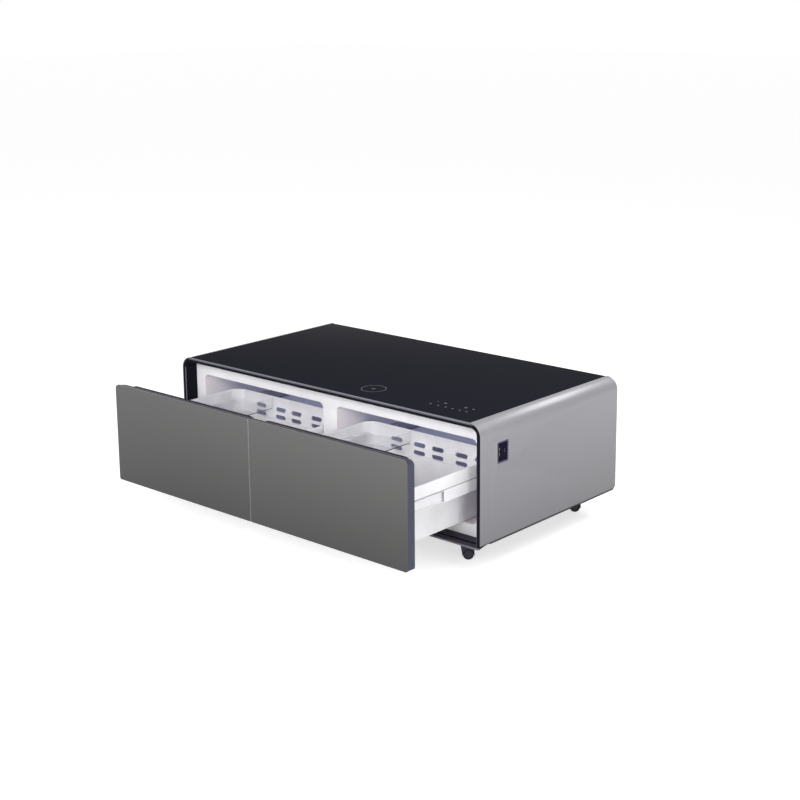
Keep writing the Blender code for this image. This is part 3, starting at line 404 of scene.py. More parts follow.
def glass(name, colour, scale, low, high, **sockets):
    """Glass whose gloss varies a little from place to place."""
    made = surface(name, colour, 0.10, **sockets)
    drive(made, ranged(made, pattern(made, "Noise", scale, Detail=5), low, high), "Roughness")
    return made


def plastic(name, colour, roughness, grain=900, depth=0.00002, **sockets):
    """Moulded plastic: a fine grain, slightly uneven gloss and a faint cloudiness of colour."""
    made = surface(name, colour, roughness, **sockets)
    tinted(made, pattern(made, "Noise", 14, Detail=3), shade(colour, 0.95), shade(colour, 1.04))
    uneven = pattern(made, "Noise", 60, Detail=2)
    drive(made, ranged(made, uneven, roughness * 0.85, roughness * 1.2), "Roughness")
    bumped(made, pattern(made, "Noise", grain, Detail=2), depth, 0.6)
    return made


def brushed(name, colour, roughness, metallic, stretch, spread=0.06):
    """Metal with fine lines along the axis whose stretch is least."""
    made = surface(name, colour, roughness, metallic)
    lines = pattern(made, "Noise", 1, stretch, Detail=4, Roughness=0.7)
    tinted(made, lines, shade(colour, 1 - spread), shade(colour, 1 + spread))
    drive(made, ranged(made, lines, roughness * 0.85, roughness * 1.18), "Roughness")
    bumped(made, lines, 0.00001, 0.5)
    return made


def mottled(name, colour, roughness, kind, scale, dark, light, **values):
    """A plain look whose colour runs from dark to light with a pattern."""
    made = surface(name, colour, roughness)
    tinted(made, pattern(made, kind, scale, **values), dark, light)
    return made


# Looks of the cabinet's outside. Colours are linear, and grades run in the piece's own coordinates

glass("black_glass", (0.0168, 0.0168, 0.0240), 5, 0.07, 0.13, IOR=1.012)
grey = glass("grey_glass", (0.095, 0.095, 0.094), 6, 0.08, 0.13, IOR=1.30)
# Painted shade: the drawer fronts' glass is darker towards the bottom.
drive(grey, graded(grey, "Z", 0.10, 0.41, (0.060, 0.060, 0.059), (0.107, 0.107, 0.106)), "Base Color")
# Painted highlight: the polished seam edges of the front glass get a light grey colour in place of their
# reflection.
seam_highlight_dark = (0.58, 0.57, 0.56)
seam_highlight_light = (0.66, 0.65, 0.64)
mottled("seam_edge_painted_highlight", (0.62, 0.61, 0.60), 0.25, "Noise", 200, seam_highlight_dark, seam_highlight_light, Detail=2)

silver_lines = (6, 420, 3)
silver_shaded_bottom = (0.176, 0.173, 0.186)
foot_shade_low = side_bottom + 0.0018
foot_shade_high = side_bottom + 0.0036
silver = brushed("silver_steel", (0.30, 0.295, 0.315), 0.36, 0.35, silver_lines)
# Painted shade: the silver sheet is darker towards the bottom.
rise = graded(silver, "Z", 0.08, 0.40, silver_shaded_bottom, (0.270, 0.266, 0.285))
# Painted shade: the lowest few millimetres of the side, where the sheet turns under into its flange, are
# painted nearly black.
bend = graded(silver, "Z", foot_shade_low, foot_shade_high, (0.022, 0.021, 0.026), rise)
cloudy(silver, bend, pattern(silver, "Noise", 1, silver_lines, Detail=4, Roughness=0.7), 0.05)

gloss = surface("ring_gloss", (0.013, 0.012, 0.020), 0.14, IOR=1.05)
# Painted highlight: the ring's top lip turns light grey over its highest few millimetres.
rise = graded(gloss, "Z", 0.4420, 0.4484, (0.0115, 0.0110, 0.0175), (0.235, 0.235, 0.268))
cloudy(gloss, rise, pattern(gloss, "Noise", 30, Detail=3), 0.04)
# Painted highlight: a light grey on the ring's lower front lip and on the front of its inner edge.
plastic("ring_edge_painted_highlight", (0.15, 0.14, 0.165), 0.30, 600)
plastic("ledge_black", (0.052, 0.047, 0.068), 0.35, 500, IOR=1.1)

slate_colour = (0.064, 0.067, 0.098)
slate = plastic("slate_plastic", slate_colour, 0.5, IOR=1.2)
rise = graded(slate, "Z", 0.398, 0.411, slate_colour, (0.030, 0.030, 0.046))
cloudy(slate, rise, pattern(slate, "Noise", 14, Detail=3), 0.04)

# Looks of the cold box. Its colour turns darker and bluer inward, which is painted shade, and its faint glow
# is painted light that stands for the light in it, and grows inward and off the floor.
# The evaporators stay imported nodes, which are measured from the world's origin and not from the front

plastic("white_plastic", (0.88, 0.872, 0.895), 0.34, 120, 0.00001)
for name, start in (("cold_white", 0), ("cold_plate", front_plane)):
    # The bluish colour of the painted glow.
    tint = {"Emission Color": (0.62, 0.65, 0.98, 1)}
    cold = plastic(name, (0.80, 0.79, 0.83), 0.34, 120, 0.00001, **tint)
    # Painted shade: darker and bluer inward.
    inward = graded(cold, "Y", start + 0.05, start + 0.21, (0.870, 0.800, 0.815), (0.430, 0.425, 0.490))
    cloudy(cold, inward, pattern(cold, "Noise", 14, Detail=3), 0.03)
    # Painted light: a glow that is nil near the floor and grows inward.
    glow = cold.node_tree.nodes.new("ShaderNodeMath")
    glow.operation = "MULTIPLY"
    cold.node_tree.links.new(along(cold, "Z", 0.115, 0.165), glow.inputs[0])
    cold.node_tree.links.new(along(cold, "Y", start + 0.12, start + 0.46, 0.03, 0.17), glow.inputs[1])
    drive(cold, glow.outputs[0], "Emission Strength")
clear = surface("clear_plastic", (0.98, 0.985, 0.99), 0.03, **{"IOR": 1.06, "Transmission Weight": 0.97})
bumped(clear, pattern(clear, "Noise", 40, Detail=2), 0.00006, 0.4)

# Looks of the smaller parts

plastic("white_steel", (0.84, 0.835, 0.86), 0.35, 500)
brushed("zinc_steel", (0.50, 0.51, 0.52), 0.34, 1.0, (90, 12, 90), 0.12)
brushed("aluminium", (0.62, 0.63, 0.64), 0.36, 1.0, (12, 400, 400), 0.1)
brushed("port_metal", (0.55, 0.56, 0.58), 0.3, 1.0, (200, 200, 900))
plastic("black_steel", (0.022, 0.021, 0.025), 0.52, 700, 0.00006, IOR=1.15)
plastic("black_rubber", (0.024, 0.022, 0.031), 0.70, 1200, 0.00004, IOR=1.15)
plastic("caster_plastic", (0.045, 0.041, 0.058), 0.36, 800, IOR=1.2)
plastic("hub_plastic", (0.046, 0.042, 0.058), 0.38, 700, IOR=1.2)
plastic("dark_plastic", (0.028, 0.026, 0.038), 0.45, IOR=1.2)
plastic("plate_rim", (0.095, 0.085, 0.150), 0.45, 700, IOR=1.2)
plastic("plate_field", (0.010, 0.009, 0.022), 0.30, 700, IOR=1.05)
plastic("port_tongue", (0.46, 0.50, 0.12), 0.45)
plastic("port_blue", (0.20, 0.22, 0.34), 0.4)
plastic("print_white", (0.20, 0.205, 0.23), 0.4)
foam_dark = (0.68, 0.55, 0.30)
foam_light = (0.82, 0.70, 0.45)
foam = mottled("foam", (0.76, 0.64, 0.38), 0.9, "Noise", 30, foam_dark, foam_light, Detail=4)
bumped(foam, pattern(foam, "Voronoi", 500), 0.0006, 0.8)
board_dark = (0.015, 0.07, 0.035)
board_light = (0.04, 0.16, 0.08)
mottled("circuit_green", (0.02, 0.09, 0.045), 0.45, "Voronoi", 180, board_dark, board_light)


# Pieces


cabinet_at = (0, front_plane, 0)
drawer_at = (0, drawer_plane, 0)


def piece(name, mesh, look, body, replaces=(), location=(0, 0, 0), sharp=32, turn=0):
    """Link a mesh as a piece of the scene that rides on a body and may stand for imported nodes."""
    made = bpy.data.objects.new(name, mesh)
    bpy.context.scene.collection.objects.link(made)
    made.location = location
    made.rotation_euler = (0, 0, turn)
    bpy.context.view_layer.update()
    words = look if isinstance(look, tuple) else (look,)
    mesh.materials.clear()
    for word in words:
        mesh.materials.append(looks[word])
    mesh.shade_smooth()
    mesh.set_sharp_from_angle(angle=math.radians(sharp))
    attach(made, body)
    if replaces:
        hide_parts(replaces)
    return made


def plate_outline(growth, half=plate_half, radius=plate_radius, at=plate_at, steps=8):
    """A rounded outline on the right side, the charging plate's own unless told otherwise."""
    u, v = at
    reach_u = half[0] + growth
    reach_v = half[1] + growth
    return rounded(u - reach_u, u + reach_u, v - reach_v, v + reach_v, radius + growth, steps)


def make_side_panels():
    """Bent side sheets: a rolled shoulder, a seat for the glass and a flange below."""
    over = 0.004
    flange = half_width - 0.012
    flange_top = side_bottom + sheet
    seat_end = shoulder_x - 0.010
    inner_radius = shoulder_radius - sheet
    inner_end = math.degrees(math.acos(sheet / inner_radius))
    section = (
        [(flange, side_bottom), (half_width, side_bottom)]
        + arc(shoulder_x, shoulder_z, shoulder_radius, 0, 90, 20)
        + [(shoulder_x, seat_top), (seat_end, seat_top), (seat_end, seat_low), (shoulder_x + sheet, seat_low)]
        + arc(shoulder_x, shoulder_z, inner_radius, inner_end, 0, 20)
        + [(half_width - sheet, flange_top), (flange, flange_top)]
    )
    away = [
        block(seat_end - over, shoulder_x + sheet, low, high, seat_low - over, table_height - sheet)
        for low, high in ((-over, glass_front), (glass_back, table_depth + over))
    ]
    away.append(
        block(flange - over, half_width - sheet, -over, recess_depth, side_bottom - over, flange_top + over)
    )
    corner_radius = 0.013
    corner_y = table_depth - corner_radius
    corner_z = side_bottom + corner_radius
    corner = arc(corner_y, corner_z, corner_radius, 0, -90) + [
        (corner_y, side_bottom - over),
        (table_depth + over, side_bottom - over),
        (table_depth + over, corner_z),
    ]
    away.append(prism(corner, "X", flange - over, half_width + over))
    plain = cut(prism(section, "Y", 0, table_depth), *away)
    window = prism(plate_outline(fit_gap, steps=12), "X", half_width - sheet - over, half_width + over)
    for word, mesh in (("right", cut(plain.copy(), window)), ("left", mirrored(plain))):
        soft = bevelled(mesh, 0.0003, 50)
        piece(word + "_side_sheet", soft, "silver_steel", "cabinet", "side_panel_" + word, cabinet_at)


def make_glass():
    """The glass top, a hair below the table's height, which the print on it reaches."""
    corner = 0.003
    edge_x = shoulder_x - fit_gap

    def ring(inset, distance):
        reach = edge_x - inset
        outline = rounded(-reach, reach, glass_front + inset, glass_back - inset, corner - inset)
        return place(outline, "Z", distance)

    slab = pillow(ring, glass_low, table_height - lift, 0.0008)
    piece("top_glass", slab, "black_glass", "cabinet", "glass_top", cabinet_at)


def make_marks():
    """Printed marks on the glass: the charging circle and the touch keys."""
    low = table_height - 3 * lift
    line = 0.0012
    circle_at = (0.143, 0.102)
    circle_bands = ((0.0396, 0.0385), (0.0056, 0.0048))
    circle_dash = 0.005
    key_y = 0.0845
    key_xs = (0.391, 0.4205, 0.4498, 0.476, 0.5036, 0.529)
    key_band = (0.0030, 0.0018)
    key_dot = 0.0016
    dashes = ((0.392, 0.116, 0.0046), (0.392, 0.1185, 0.0030))
    switch_at = (0.5296, 0.117)
    switch_band = (0.0034, 0.0020)
    switch_dot = 0.0018
    stack_xs = (0.423, 0.501)
    stack_ys = (0.1135, 0.1165, 0.1195)
    stack_length = 0.0100

    def band(x, y, outer, inner):
        profile = [(low, outer), (table_height, outer), (table_height, inner), (low, inner)]
        return turned("Z", (x, y), profile, 64, endless=True)

    def bar(x, y, length, width=line):
        return block(x - length / 2, x + length / 2, y - width / 2, y + width / 2, low, table_height)

    circle = [band(*circle_at, outer, inner) for outer, inner in circle_bands]
    circle.append(bar(*circle_at, circle_dash))
    piece("charging_circle", gathered(*circle), "print_white", "cabinet", location=cabinet_at)
    keys = []
    for x in key_xs:
        keys.append(band(x, key_y, *key_band))
        keys.append(bar(x, key_y, key_dot, key_dot))
    keys += [bar(*dash) for dash in dashes]
    keys.append(band(*switch_at, *switch_band))
    keys.append(bar(*switch_at, switch_dot, switch_dot))
    keys += [bar(x, y, stack_length) for x in stack_xs for y in stack_ys]
    piece("touch_keys", gathered(*keys), "print_white", "cabinet", location=cabinet_at)


def shouldered(inset, low_z, high_z, foot):
    """The cabinet's inner outline, cut off at a height, with round lower corners."""
    side = inside_x - inset
    radius = inside_radius - inset
    rise = math.degrees(math.asin(min((high_z - shoulder_z) / radius, 1.0)))
    return (
        arc(foot - side, low_z + foot, foot, 180, 270)
        + arc(side - foot, low_z + foot, foot, 270, 360)
        + arc(shoulder_x, shoulder_z, radius, 0, rise)
        + arc(-shoulder_x, shoulder_z, radius, 180 - rise, 180)
    )


def front_outline(inset, drop):
    """The ring's outline moved in by one amount at the sides and foot and by another at the top."""
    outline = []
    for x, z in shouldered(inset, frame_bottom + inset, frame_top, frame_foot_radius):
        share = max(0.0, min(1.0, (z - shoulder_z) / (frame_top - shoulder_z)))
        outline.append((x, z - drop * share))
    return outline


def make_ring():
    """The gloss ring round the drawers, with its soft front edge and the groove in its ledge."""
    edge = 0.0018
    crown = 0.0052
    foot_rise = 0.008
    ledge_front = 0.006
    ledge_back = 0.017
    groove = ((0.0243, 0), (0.024, 0.004), (0.018, 0.004), (0.0177, 0))
    back = recess_depth - fit_gap
    lip_end = glass_front - fit_gap
    ledge = frame_bottom + ledge_front
    slope = (ledge_back - ledge_front) / recess_depth

    def outer(high_z, distance):
        low_z = frame_bottom + foot_rise * distance / back
        return place(shouldered(0, low_z, high_z, frame_foot_radius), "Y", distance)

    def inner(outset, low_z, distance):
        side = frame_inner_x + outset
        radii = (inner_foot_radius, inner_foot_radius, inner_top_radius, inner_top_radius)
        return place(rounded(-side, side, low_z - outset, frame_inner_top + outset, radii), "Y", distance)

    rings = []
    for inset, depth in quarter(9):
        rings.append(place(front_outline(edge * inset, crown * inset), "Y", crown * depth))
    rings.append(outer(frame_top, lip_end - fit_gap))
    rings.append(outer(seat_low - fit_gap, lip_end))
    rings.append(outer(seat_low - fit_gap, back))
    for distance, drop in ((back, 0), *groove):
        rings.append(inner(0, ledge + slope * distance - drop, distance))
    for outset, depth in reversed(quarter(4)):
        rings.append(inner(edge * outset, ledge + slope * edge, edge * depth))
    parts = ("ring_gloss", "ring_edge_painted_highlight", "ledge_black")
    mesh = skin(rings, endless=True)
    made = piece("gloss_ring", mesh, parts, "cabinet", "front_frame", cabinet_at)
    # The lower front lip and the inner edge's front faces take the painted highlight; the ledge's upward faces
    # take the ledge's black.
    for face in made.data.polygons:
        spot = face.center
        between = abs(spot.x) < frame_inner_x + edge
        low_face = spot.z < ledge + edge and spot.y < edge * 1.2
        inner_edge = spot.y < edge and between and spot.z < frame_inner_top - inner_top_radius
        if low_face or inner_edge:
            face.material_index = 1
        elif face.normal.z > 0.5 and spot.z < front_low and abs(spot.x) < frame_inner_x:
            face.material_index = 2


def opening(side, growth, radius=opening_radius):
    """A compartment's outline, moved out by an amount."""
    centre = side * drawer_x
    reach = opening_half + growth
    low = opening_low - growth
    high = opening_high + growth
    return rounded(centre - reach, centre + reach, low, high, radius + growth)


def make_liner():
    """The liner: a face round two compartments, with rounded lips and softly bent back corners."""
    wall = 0.0025
    lip = 0.0022
    bend = 0.008
    over = 0.004
    face_low = side_bottom + 0.0018
    face_high = 0.4387
    face_outline = shouldered(0, face_low, face_high, inner_foot_radius)
    face = prism(face_outline, "Y", recess_depth, recess_depth + wall)
    boxes = [prism(opening(side, wall), "Y", recess_depth + wall / 2, cavity_back + wall) for side in (-1, 1)]
    levels = [(lip, recess_depth - over)]
    levels += [(lip * inset, recess_depth + lip * depth) for inset, depth in quarter(5)]
    levels += [(-bend * depth, cavity_back - bend * inset) for inset, depth in quarter(5)]
    hollows = [
        skin([place(opening(side, growth), "Y", distance) for growth, distance in levels]) for side in (-1, 1)
    ]
    mesh = cut(joined(face, *boxes), *hollows)
    made = piece("inner_liner", mesh, ("white_plastic", "cold_white"), "cabinet", "liner", cabinet_at)
    # The compartments' inner faces take the painted shade and glow.
    for part in made.data.polygons:
        if part.center.y > recess_depth + wall:
            part.material_index = 1


def make_front_glass(word, outline):
    edge = 0.0007
    mesh = pillow(lambda inset, y: place(outline(inset), "Y", y), 0, front_glass, edge)
    parts = ("grey_glass", "seam_edge_painted_highlight")
    made = piece(word + "_tinted_glass", mesh, parts, word + "_drawer", word + "_front_glass", drawer_at)
    # The glass faces at the seam take the painted highlight.
    for part in made.data.polygons:
        if abs(part.normal.x) > 0.9 and abs(part.center.x) < 0.002:
            part.material_index = 1


def make_carrier(word, outline):
    """The moulding behind the glass, soft in front and behind, whose top falls towards the back."""
    inset_all = 0.0008
    front_round = 0.0006
    back_round = 0.0009
    back_bend = 0.0012
    fall = 0.006
    rings = []
    for inset, depth in quarter(3):
        distance = front_glass + fit_gap + front_round * depth
        rings.append(place(outline(inset_all + front_round * inset), "Y", distance))
    for inset, depth in reversed(quarter(3)):
        distance = carrier_back - back_bend * depth
        ring = outline(inset_all + back_round * inset, fall * distance / carrier_back)
        rings.append(place(ring, "Y", distance))
    mesh = skin(rings)
    piece(word + "_front_body", mesh, "slate_plastic", word + "_drawer", word + "_front_carrier", drawer_at)


def make_inner_door(side, word):
    """The panel that plugs the compartment, and the seal round it with its folds."""
    body = word + "_drawer"
    wider = 0.010
    plug_radius = 0.014
    plug_depth = 0.0104
    plug_edge = 0.0025
    plug = carrier_back + fit_gap
    back = recess_depth - fit_gap
    seal_depth = 16.4
    # The seal's section in millimetres: how far out from the panel, and how deep of the seal's depth
    seal = [
        (11.0, 0), (12.5, 0.8), (12.5, 3.2), (10.4, 4.4), (10.4, 5.2), (12.5, 6.4), (12.5, 10.6),
        (11.4, 12.4), (9.6, 14.2), (9.6, 15.2), (11.6, 16.4), (3.0, 16.4), (2.6, 15.4), (4.6, 14.2),
        (4.6, 12.6), (0.5, 10.6), (0.5, 6.4), (2.6, 5.2), (2.6, 4.4), (0.5, 3.2), (0.5, 0.8), (2.0, 0),
    ]

    def ring(growth, distance):
        return place(opening(side, wider + growth, plug_radius), "Y", distance)

    panel = pillow(lambda inset, y: ring(-inset, y), plug, plug + plug_depth, plug_edge)
    piece(word + "_door_liner", panel, "white_plastic", body, word + "_inner_door", drawer_at)
    rings = [ring(out / 1000, plug + share / seal_depth * (back - plug)) for out, share in seal]
    mesh = skin(rings, endless=True)
    piece(word + "_bellows_seal", mesh, "black_rubber", body, word + "_gasket", drawer_at, 40)


def make_drawer_front(side, word):
    """Front glass, its carrier, the inner door and the seal."""
    seam_gap = 0.0012
    edge_gap = 0.0016
    top_radius = 0.016
    bottom_radius = 0.008
    seam_radius = 0.002

    def outline(inset, drop=0.0):
        seam = seam_gap + inset
        edge = frame_inner_x - edge_gap - inset
        top = top_radius - inset
        bottom = bottom_radius - inset
        corner = seam_radius - inset
        low = front_low + inset
        high = front_high - inset - drop
        if side > 0:
            return rounded(seam, edge, low, high, (corner, bottom, top, corner), 8)
        return rounded(-edge, -seam, low, high, (bottom, corner, corner, top), 8)

    make_front_glass(word, outline)
    make_carrier(word, outline)
    make_inner_door(side, word)


def make_bin(side, word):
    """The moulded tub: every step and edge of its wall has a soft bend."""
    centre = side * drawer_x
    lap = 0.003
    end_lower = lap + 0.011
    narrow = middle_half - fit_gap
    floor = bin_low + bin_wall
    floor_round = 0.008

    def ring(half, end, radius, height, shrink):
        reach = half - shrink
        low_y = bin_front + end + shrink
        high_y = bin_back - end - shrink
        return place(rounded(centre - reach, centre + reach, low_y, high_y, radius - shrink, 10), "Z", height)

    # Each level of the wall: half its width, how far its ends stand in, corner radius, height and inset
    outside = [
        (lower_half, end_lower, lower_radius, bin_low, floor_round),
        (lower_half, end_lower, lower_radius, bin_low, 0.0),
        (lower_half, end_lower, lower_radius, lower_top, 0.0),
        (narrow, lap, middle_radius, lower_top + lap, 0.0),
        (narrow, lap, middle_radius, end_ledge, 0.0),
        (middle_half, fit_gap, middle_radius, end_ledge, 0.0),
        (middle_half, fit_gap, middle_radius, middle_top, 0.0),
        (collar_half, 0.0, collar_radius, middle_top, 0.0),
        (collar_half, 0.0, collar_radius, rim, 0.0),
    ]
    inside = [
        (collar_half, 0.0, collar_radius, rim, bin_wall),
        (collar_half, 0.0, collar_radius, middle_top + bin_wall, bin_wall),
        (middle_half, fit_gap, middle_radius, middle_top + bin_wall, bin_wall),
        (middle_half, fit_gap, middle_radius, end_ledge + bin_wall, bin_wall),
        (narrow, lap, middle_radius, end_ledge + bin_wall, bin_wall),
        (narrow, lap, middle_radius, lower_top + bin_wall + lap, bin_wall),
        (lower_half, end_lower, lower_radius, lower_top + bin_wall, bin_wall),
        (lower_half, end_lower, lower_radius, floor, bin_wall),
        (lower_half, end_lower, lower_radius, floor, bin_wall + floor_round),
    ]
    states = eased(outside + inside, 0.0024)
    tub = cut(skin([ring(*state) for state in states]), *air_slots(centre))
    piece(word + "_tub", tub, "white_plastic", word + "_drawer", word + "_bin", drawer_at, 50)


def air_slots(centre):
    """Cutters for the round-ended air slots, which stand in pairs and two rows in a bin's back wall."""
    slot_half = 0.0235
    slot_rise = 0.00725
    slot_radius = 0.00695
    pair_pitch = 0.171
    slot_pitch = 0.0755
    row_pitch = 0.026
    row_top = middle_top - 0.0034
    cutters = []
    for pair in range(-2, 3):
        for hand in (-1, 1):
            offset = -slot_half + pair * pair_pitch + hand * slot_pitch / 2
            if abs(offset) + slot_half > middle_half - middle_radius:
                continue
            x = centre + offset
            for row in range(2):
                z = row_top - row * row_pitch
                slot = rounded(x - slot_half, x + slot_half, z - slot_rise, z + slot_rise, slot_radius, 8)
                cutters.append(prism(slot, "Y", bin_back - 0.010, bin_back + 0.004))
    return cutters


def make_tray(side, word):
    """The clear tray that lies across the bin's end ledges."""
    play = 0.0015
    width = 0.172
    wall = 0.0022
    right_radius = 0.007
    left_radius = middle_radius - bin_wall - play
    low_x = side * drawer_x - middle_half + bin_wall + play
    front = bin_front + bin_wall + play
    back = bin_back - bin_wall - play
    low = end_ledge + bin_wall + fit_gap
    high = low + 0.0385

    def ring(inset, height):
        radii = (left_radius - inset, right_radius - inset, right_radius - inset, left_radius - inset)
        outline = rounded(low_x + inset, low_x + width - inset, front + inset, back - inset, radii, 10)
        return place(outline, "Z", height)

    levels = [
        (0.0055, low),
        (0.0020, low),
        (0.0012, high - wall),
        (0.0, high - wall),
        (0.0, high),
        (wall, high),
        (0.0040, low + wall),
        (0.0064, low + wall),
    ]
    mesh = skin([ring(*level) for level in eased(levels, 0.0010, 2)])
    piece(word + "_see_through_tray", mesh, "clear_plastic", word + "_tray", word + "_clear_tray", drawer_at)


def plate_shape():
    """Fixed plate, ball race with its groove, and the stem."""
    profile = [
        (race_foot - 0.0180, 0.0028),
        (race_foot - 0.0170, 0.0040),
        (race_foot, 0.0040),
        (race_foot + 0.0001, 0.0106),
        (race_foot + 0.0006, 0.0115),
        (race_foot + 0.0014, 0.0115),
        (race_foot + 0.0017, 0.0109),
        (race_foot + 0.0023, 0.0109),
        (race_foot + 0.0026, 0.0115),
        (race_top, 0.0115),
        (race_top + 0.0002, 0.0151),
        (race_top + 0.0006, 0.0155),
        (-0.0004, 0.0155),
        (0, 0.0151),
    ]
    return turned("Z", (0, 0), profile, 56)


def hood_shape():
    """Hood over the wheels: a soft-edged dome with a web that holds the axle."""
    half = 0.018
    web = 0.003
    over = 0.004
    skirt = 0.003
    lug_radius = 0.0064
    stem_depth = 0.018
    stem_hole = 0.0043
    axle_hole = 0.0033
    top_radius = 0.012
    top_centre = 0.0215 - top_radius
    top = race_foot - fit_gap
    inner = wheel_radius + 0.0008
    outer = inner + 0.0013
    axle = (axle_y, wheel_z)

    def outline(inset):
        return (
            [(axle_y + outer - inset, wheel_z - skirt), (axle_y + outer - inset, wheel_z)]
            + arc(top_centre, top - top_radius, top_radius - inset, 0, 90, 14)
            + arc(-top_centre, top - top_radius, top_radius - inset, 90, 180, 14)
            + [(axle_y - outer + inset, wheel_z), (axle_y - outer + inset, wheel_z - skirt)]
        )

    dome = pillow(lambda inset, x: place(outline(inset), "X", x), -half, half, 0.0011)
    lug = turned("X", axle, [(-web, lug_radius), (web, lug_radius)], 40)
    away = [
        turned("X", axle, [(low, inner), (high, inner)], 64)
        for low, high in ((-half - over, -web), (web, half + over))
    ]
    away.append(turned("Z", (0, 0), [(top - stem_depth, stem_hole), (top + over, stem_hole)], 32))
    away.append(turned("X", axle, [(-2 * web, axle_hole), (2 * web, axle_hole)], 32))
    return cut(joined(dome, lug), *away)


def wheel_shape():
    """Twin wheels on one axle: rounded tyres and dished hubs with a ring of pockets."""
    near = 0.0039
    far = 0.0174
    over = 0.001
    pocket_floor = far - 0.0022
    pocket_outer = 0.0108
    pocket_inner = 0.0070
    half = [
        (near - 0.0003, 0.0030),
        (near, 0.0138),
        (near + 0.0005, 0.0152),
        (near + 0.0014, 0.0161),
        (near + 0.0028, wheel_radius),
        (far - 0.0034, wheel_radius),
        (far - 0.0018, 0.0160),
        (far - 0.0007, 0.0150),
        (far - 0.0001, 0.0138),
        (far - 0.0001, 0.0131),
        (far - 0.0004, 0.0127),
        (far - 0.0012, 0.0124),
        (far - 0.0014, 0.0118),
        (far - 0.0014, 0.0058),
        (far - 0.0011, 0.0052),
        (far - 0.0004, 0.0049),
        (far - 0.0002, 0.0044),
        (far - 0.0002, 0.0020),
    ]
    profile = [(-distance, radius) for distance, radius in reversed(half)] + half
    mesh = turned("X", (0, 0), profile, 64)
    pockets = []
    for step in range(6):
        middle = 60 * step + 30
        outline = arc(0, 0, pocket_outer, middle - 20, middle + 20, 8)
        outline += arc(0, 0, pocket_inner, middle + 17, middle - 17, 6)
        for low, high in ((pocket_floor, far + over), (-far - over, -pocket_floor)):
            pockets.append(prism(outline, "X", low, high))
    return cut(mesh, *pockets)


def make_casters():
    plate = plate_shape()
    hood = hood_shape()
    wheels = wheel_shape()
    parts = ("black_rubber", "hub_plastic")
    turn = math.radians(-48)
    hub_radius = 0.0134
    hub_from = 0.012
    for word, side, distance in (
        ("front_left", -1, 0.073),
        ("front_right", 1, 0.073),
        ("back_left", -1, 0.622),
        ("back_right", 1, 0.622),
    ):
        spot = Vector((side * caster_x, front_plane + distance, caster_top))
        axle = spot + Matrix.Rotation(turn, 3, "Z") @ Vector((0, axle_y, wheel_z))
        swivel = word + "_swivel"
        rolling = word + "_wheels"
        caster = word + "_caster"
        piece(word + "_ball_race", plate.copy(), "zinc_steel", "cabinet", caster + "_plate", spot)
        piece(word + "_wheel_hood", hood.copy(), "caster_plastic", swivel, caster + "_hood", spot, turn=turn)
        made = piece(word + "_twin_wheels", wheels.copy(), parts, rolling, caster + "_wheels", axle, turn=turn)
        for part in made.data.polygons:
            if math.hypot(part.center.y, part.center.z) < hub_radius and abs(part.center.x) > hub_from:
                part.material_index = 1


def make_socket_plate(ports):
    """The plate: a raised rim round a sunk field, a framed window for each port and a small mark."""
    y, z = plate_at
    over = 0.002
    low = half_width - plate_thickness
    high = half_width + over
    edge = 0.0005
    field = half_width - 0.0006
    field_inset = 0.0042
    field_radius = 0.0055
    window = 0.0006
    window_mouth = 0.0014
    window_radius = 0.0006
    bevel = (half_width - 0.0013, half_width - 0.0004)
    mark_at = (y + 0.0125, z + 0.0175)
    mark_half = (0.0045, 0.0016)
    mark_radius = 0.0010
    mark_floor = half_width - 0.0009
    slab = pillow(lambda inset, x: place(plate_outline(-inset), "X", x), low, half_width, edge)
    away = [prism(plate_outline(-field_inset, radius=field_radius), "X", field, high)]
    for at in ports:
        straight = plate_outline(window, port_half, window_radius, at)
        mouth = plate_outline(window_mouth, port_half, window_radius, at)
        away.append(prism(straight, "X", low - over, high))
        away.append(skin([place(straight, "X", bevel[0]), place(mouth, "X", bevel[1])]))
    away.append(prism(plate_outline(0, mark_half, mark_radius, mark_at), "X", mark_floor, high))
    parts = ("plate_field", "plate_rim")
    mesh = cut(slab, *away)
    made = piece(
        "framed_socket_plate",
        mesh,
        parts,
        "cabinet",
        "socket_plate",
        cabinet_at,
    )
    for part in made.data.polygons:
        if part.center.x > half_width - edge:
            part.material_index = 1


def make_ports(ports):
    """The block behind the plate, with a metal shell and a tongue in each port."""
    block_half = (0.022, 0.0285)
    block_depth = 0.024
    block_radius = 0.0015
    well_depth = 0.015
    corner = 0.0003
    over = 0.002
    front = half_width - plate_thickness - fit_gap
    mouth = front - 0.0002
    depth = front - 0.0148

    def slab(inset, x):
        return place(plate_outline(-inset, block_half, block_radius), "X", x)

    wells = [
        prism(plate_outline(0, port_half, corner, at), "X", front - well_depth, front + over) for at in ports
    ]
    mesh = cut(pillow(slab, front - block_depth, front, 0.0006), *wells)
    piece("port_block", mesh, "dark_plastic", "cabinet", "socket_module", cabinet_at)
    shells = []
    for at in ports:
        outer = plate_outline(-0.00005, port_half, corner, at)
        inner = plate_outline(-0.0004, port_half, 0.0005, at)
        levels = ((outer, depth), (outer, mouth), (inner, mouth), (inner, depth))
        shells.append(skin([place(outline, "X", x) for outline, x in levels], endless=True))
    piece("port_shells", gathered(*shells), "port_metal", "cabinet", location=cabinet_at)
    for number, (y, z) in enumerate(ports, 1):

        def tongue(inset, x, y=y, z=z):
            reach = 0.0051 - inset
            outline = rounded(y - 0.0010 + inset, y + 0.0020 - inset, z - reach, z + reach, 0.0004, 4)
            return place(outline, "X", x)

        mesh = pillow(tongue, front - 0.0145, front - 0.0010, 0.0002, 2)
        look = "port_blue" if number == 3 else "port_tongue"
        piece("port_tongue_" + str(number), mesh, look, "cabinet", location=cabinet_at)


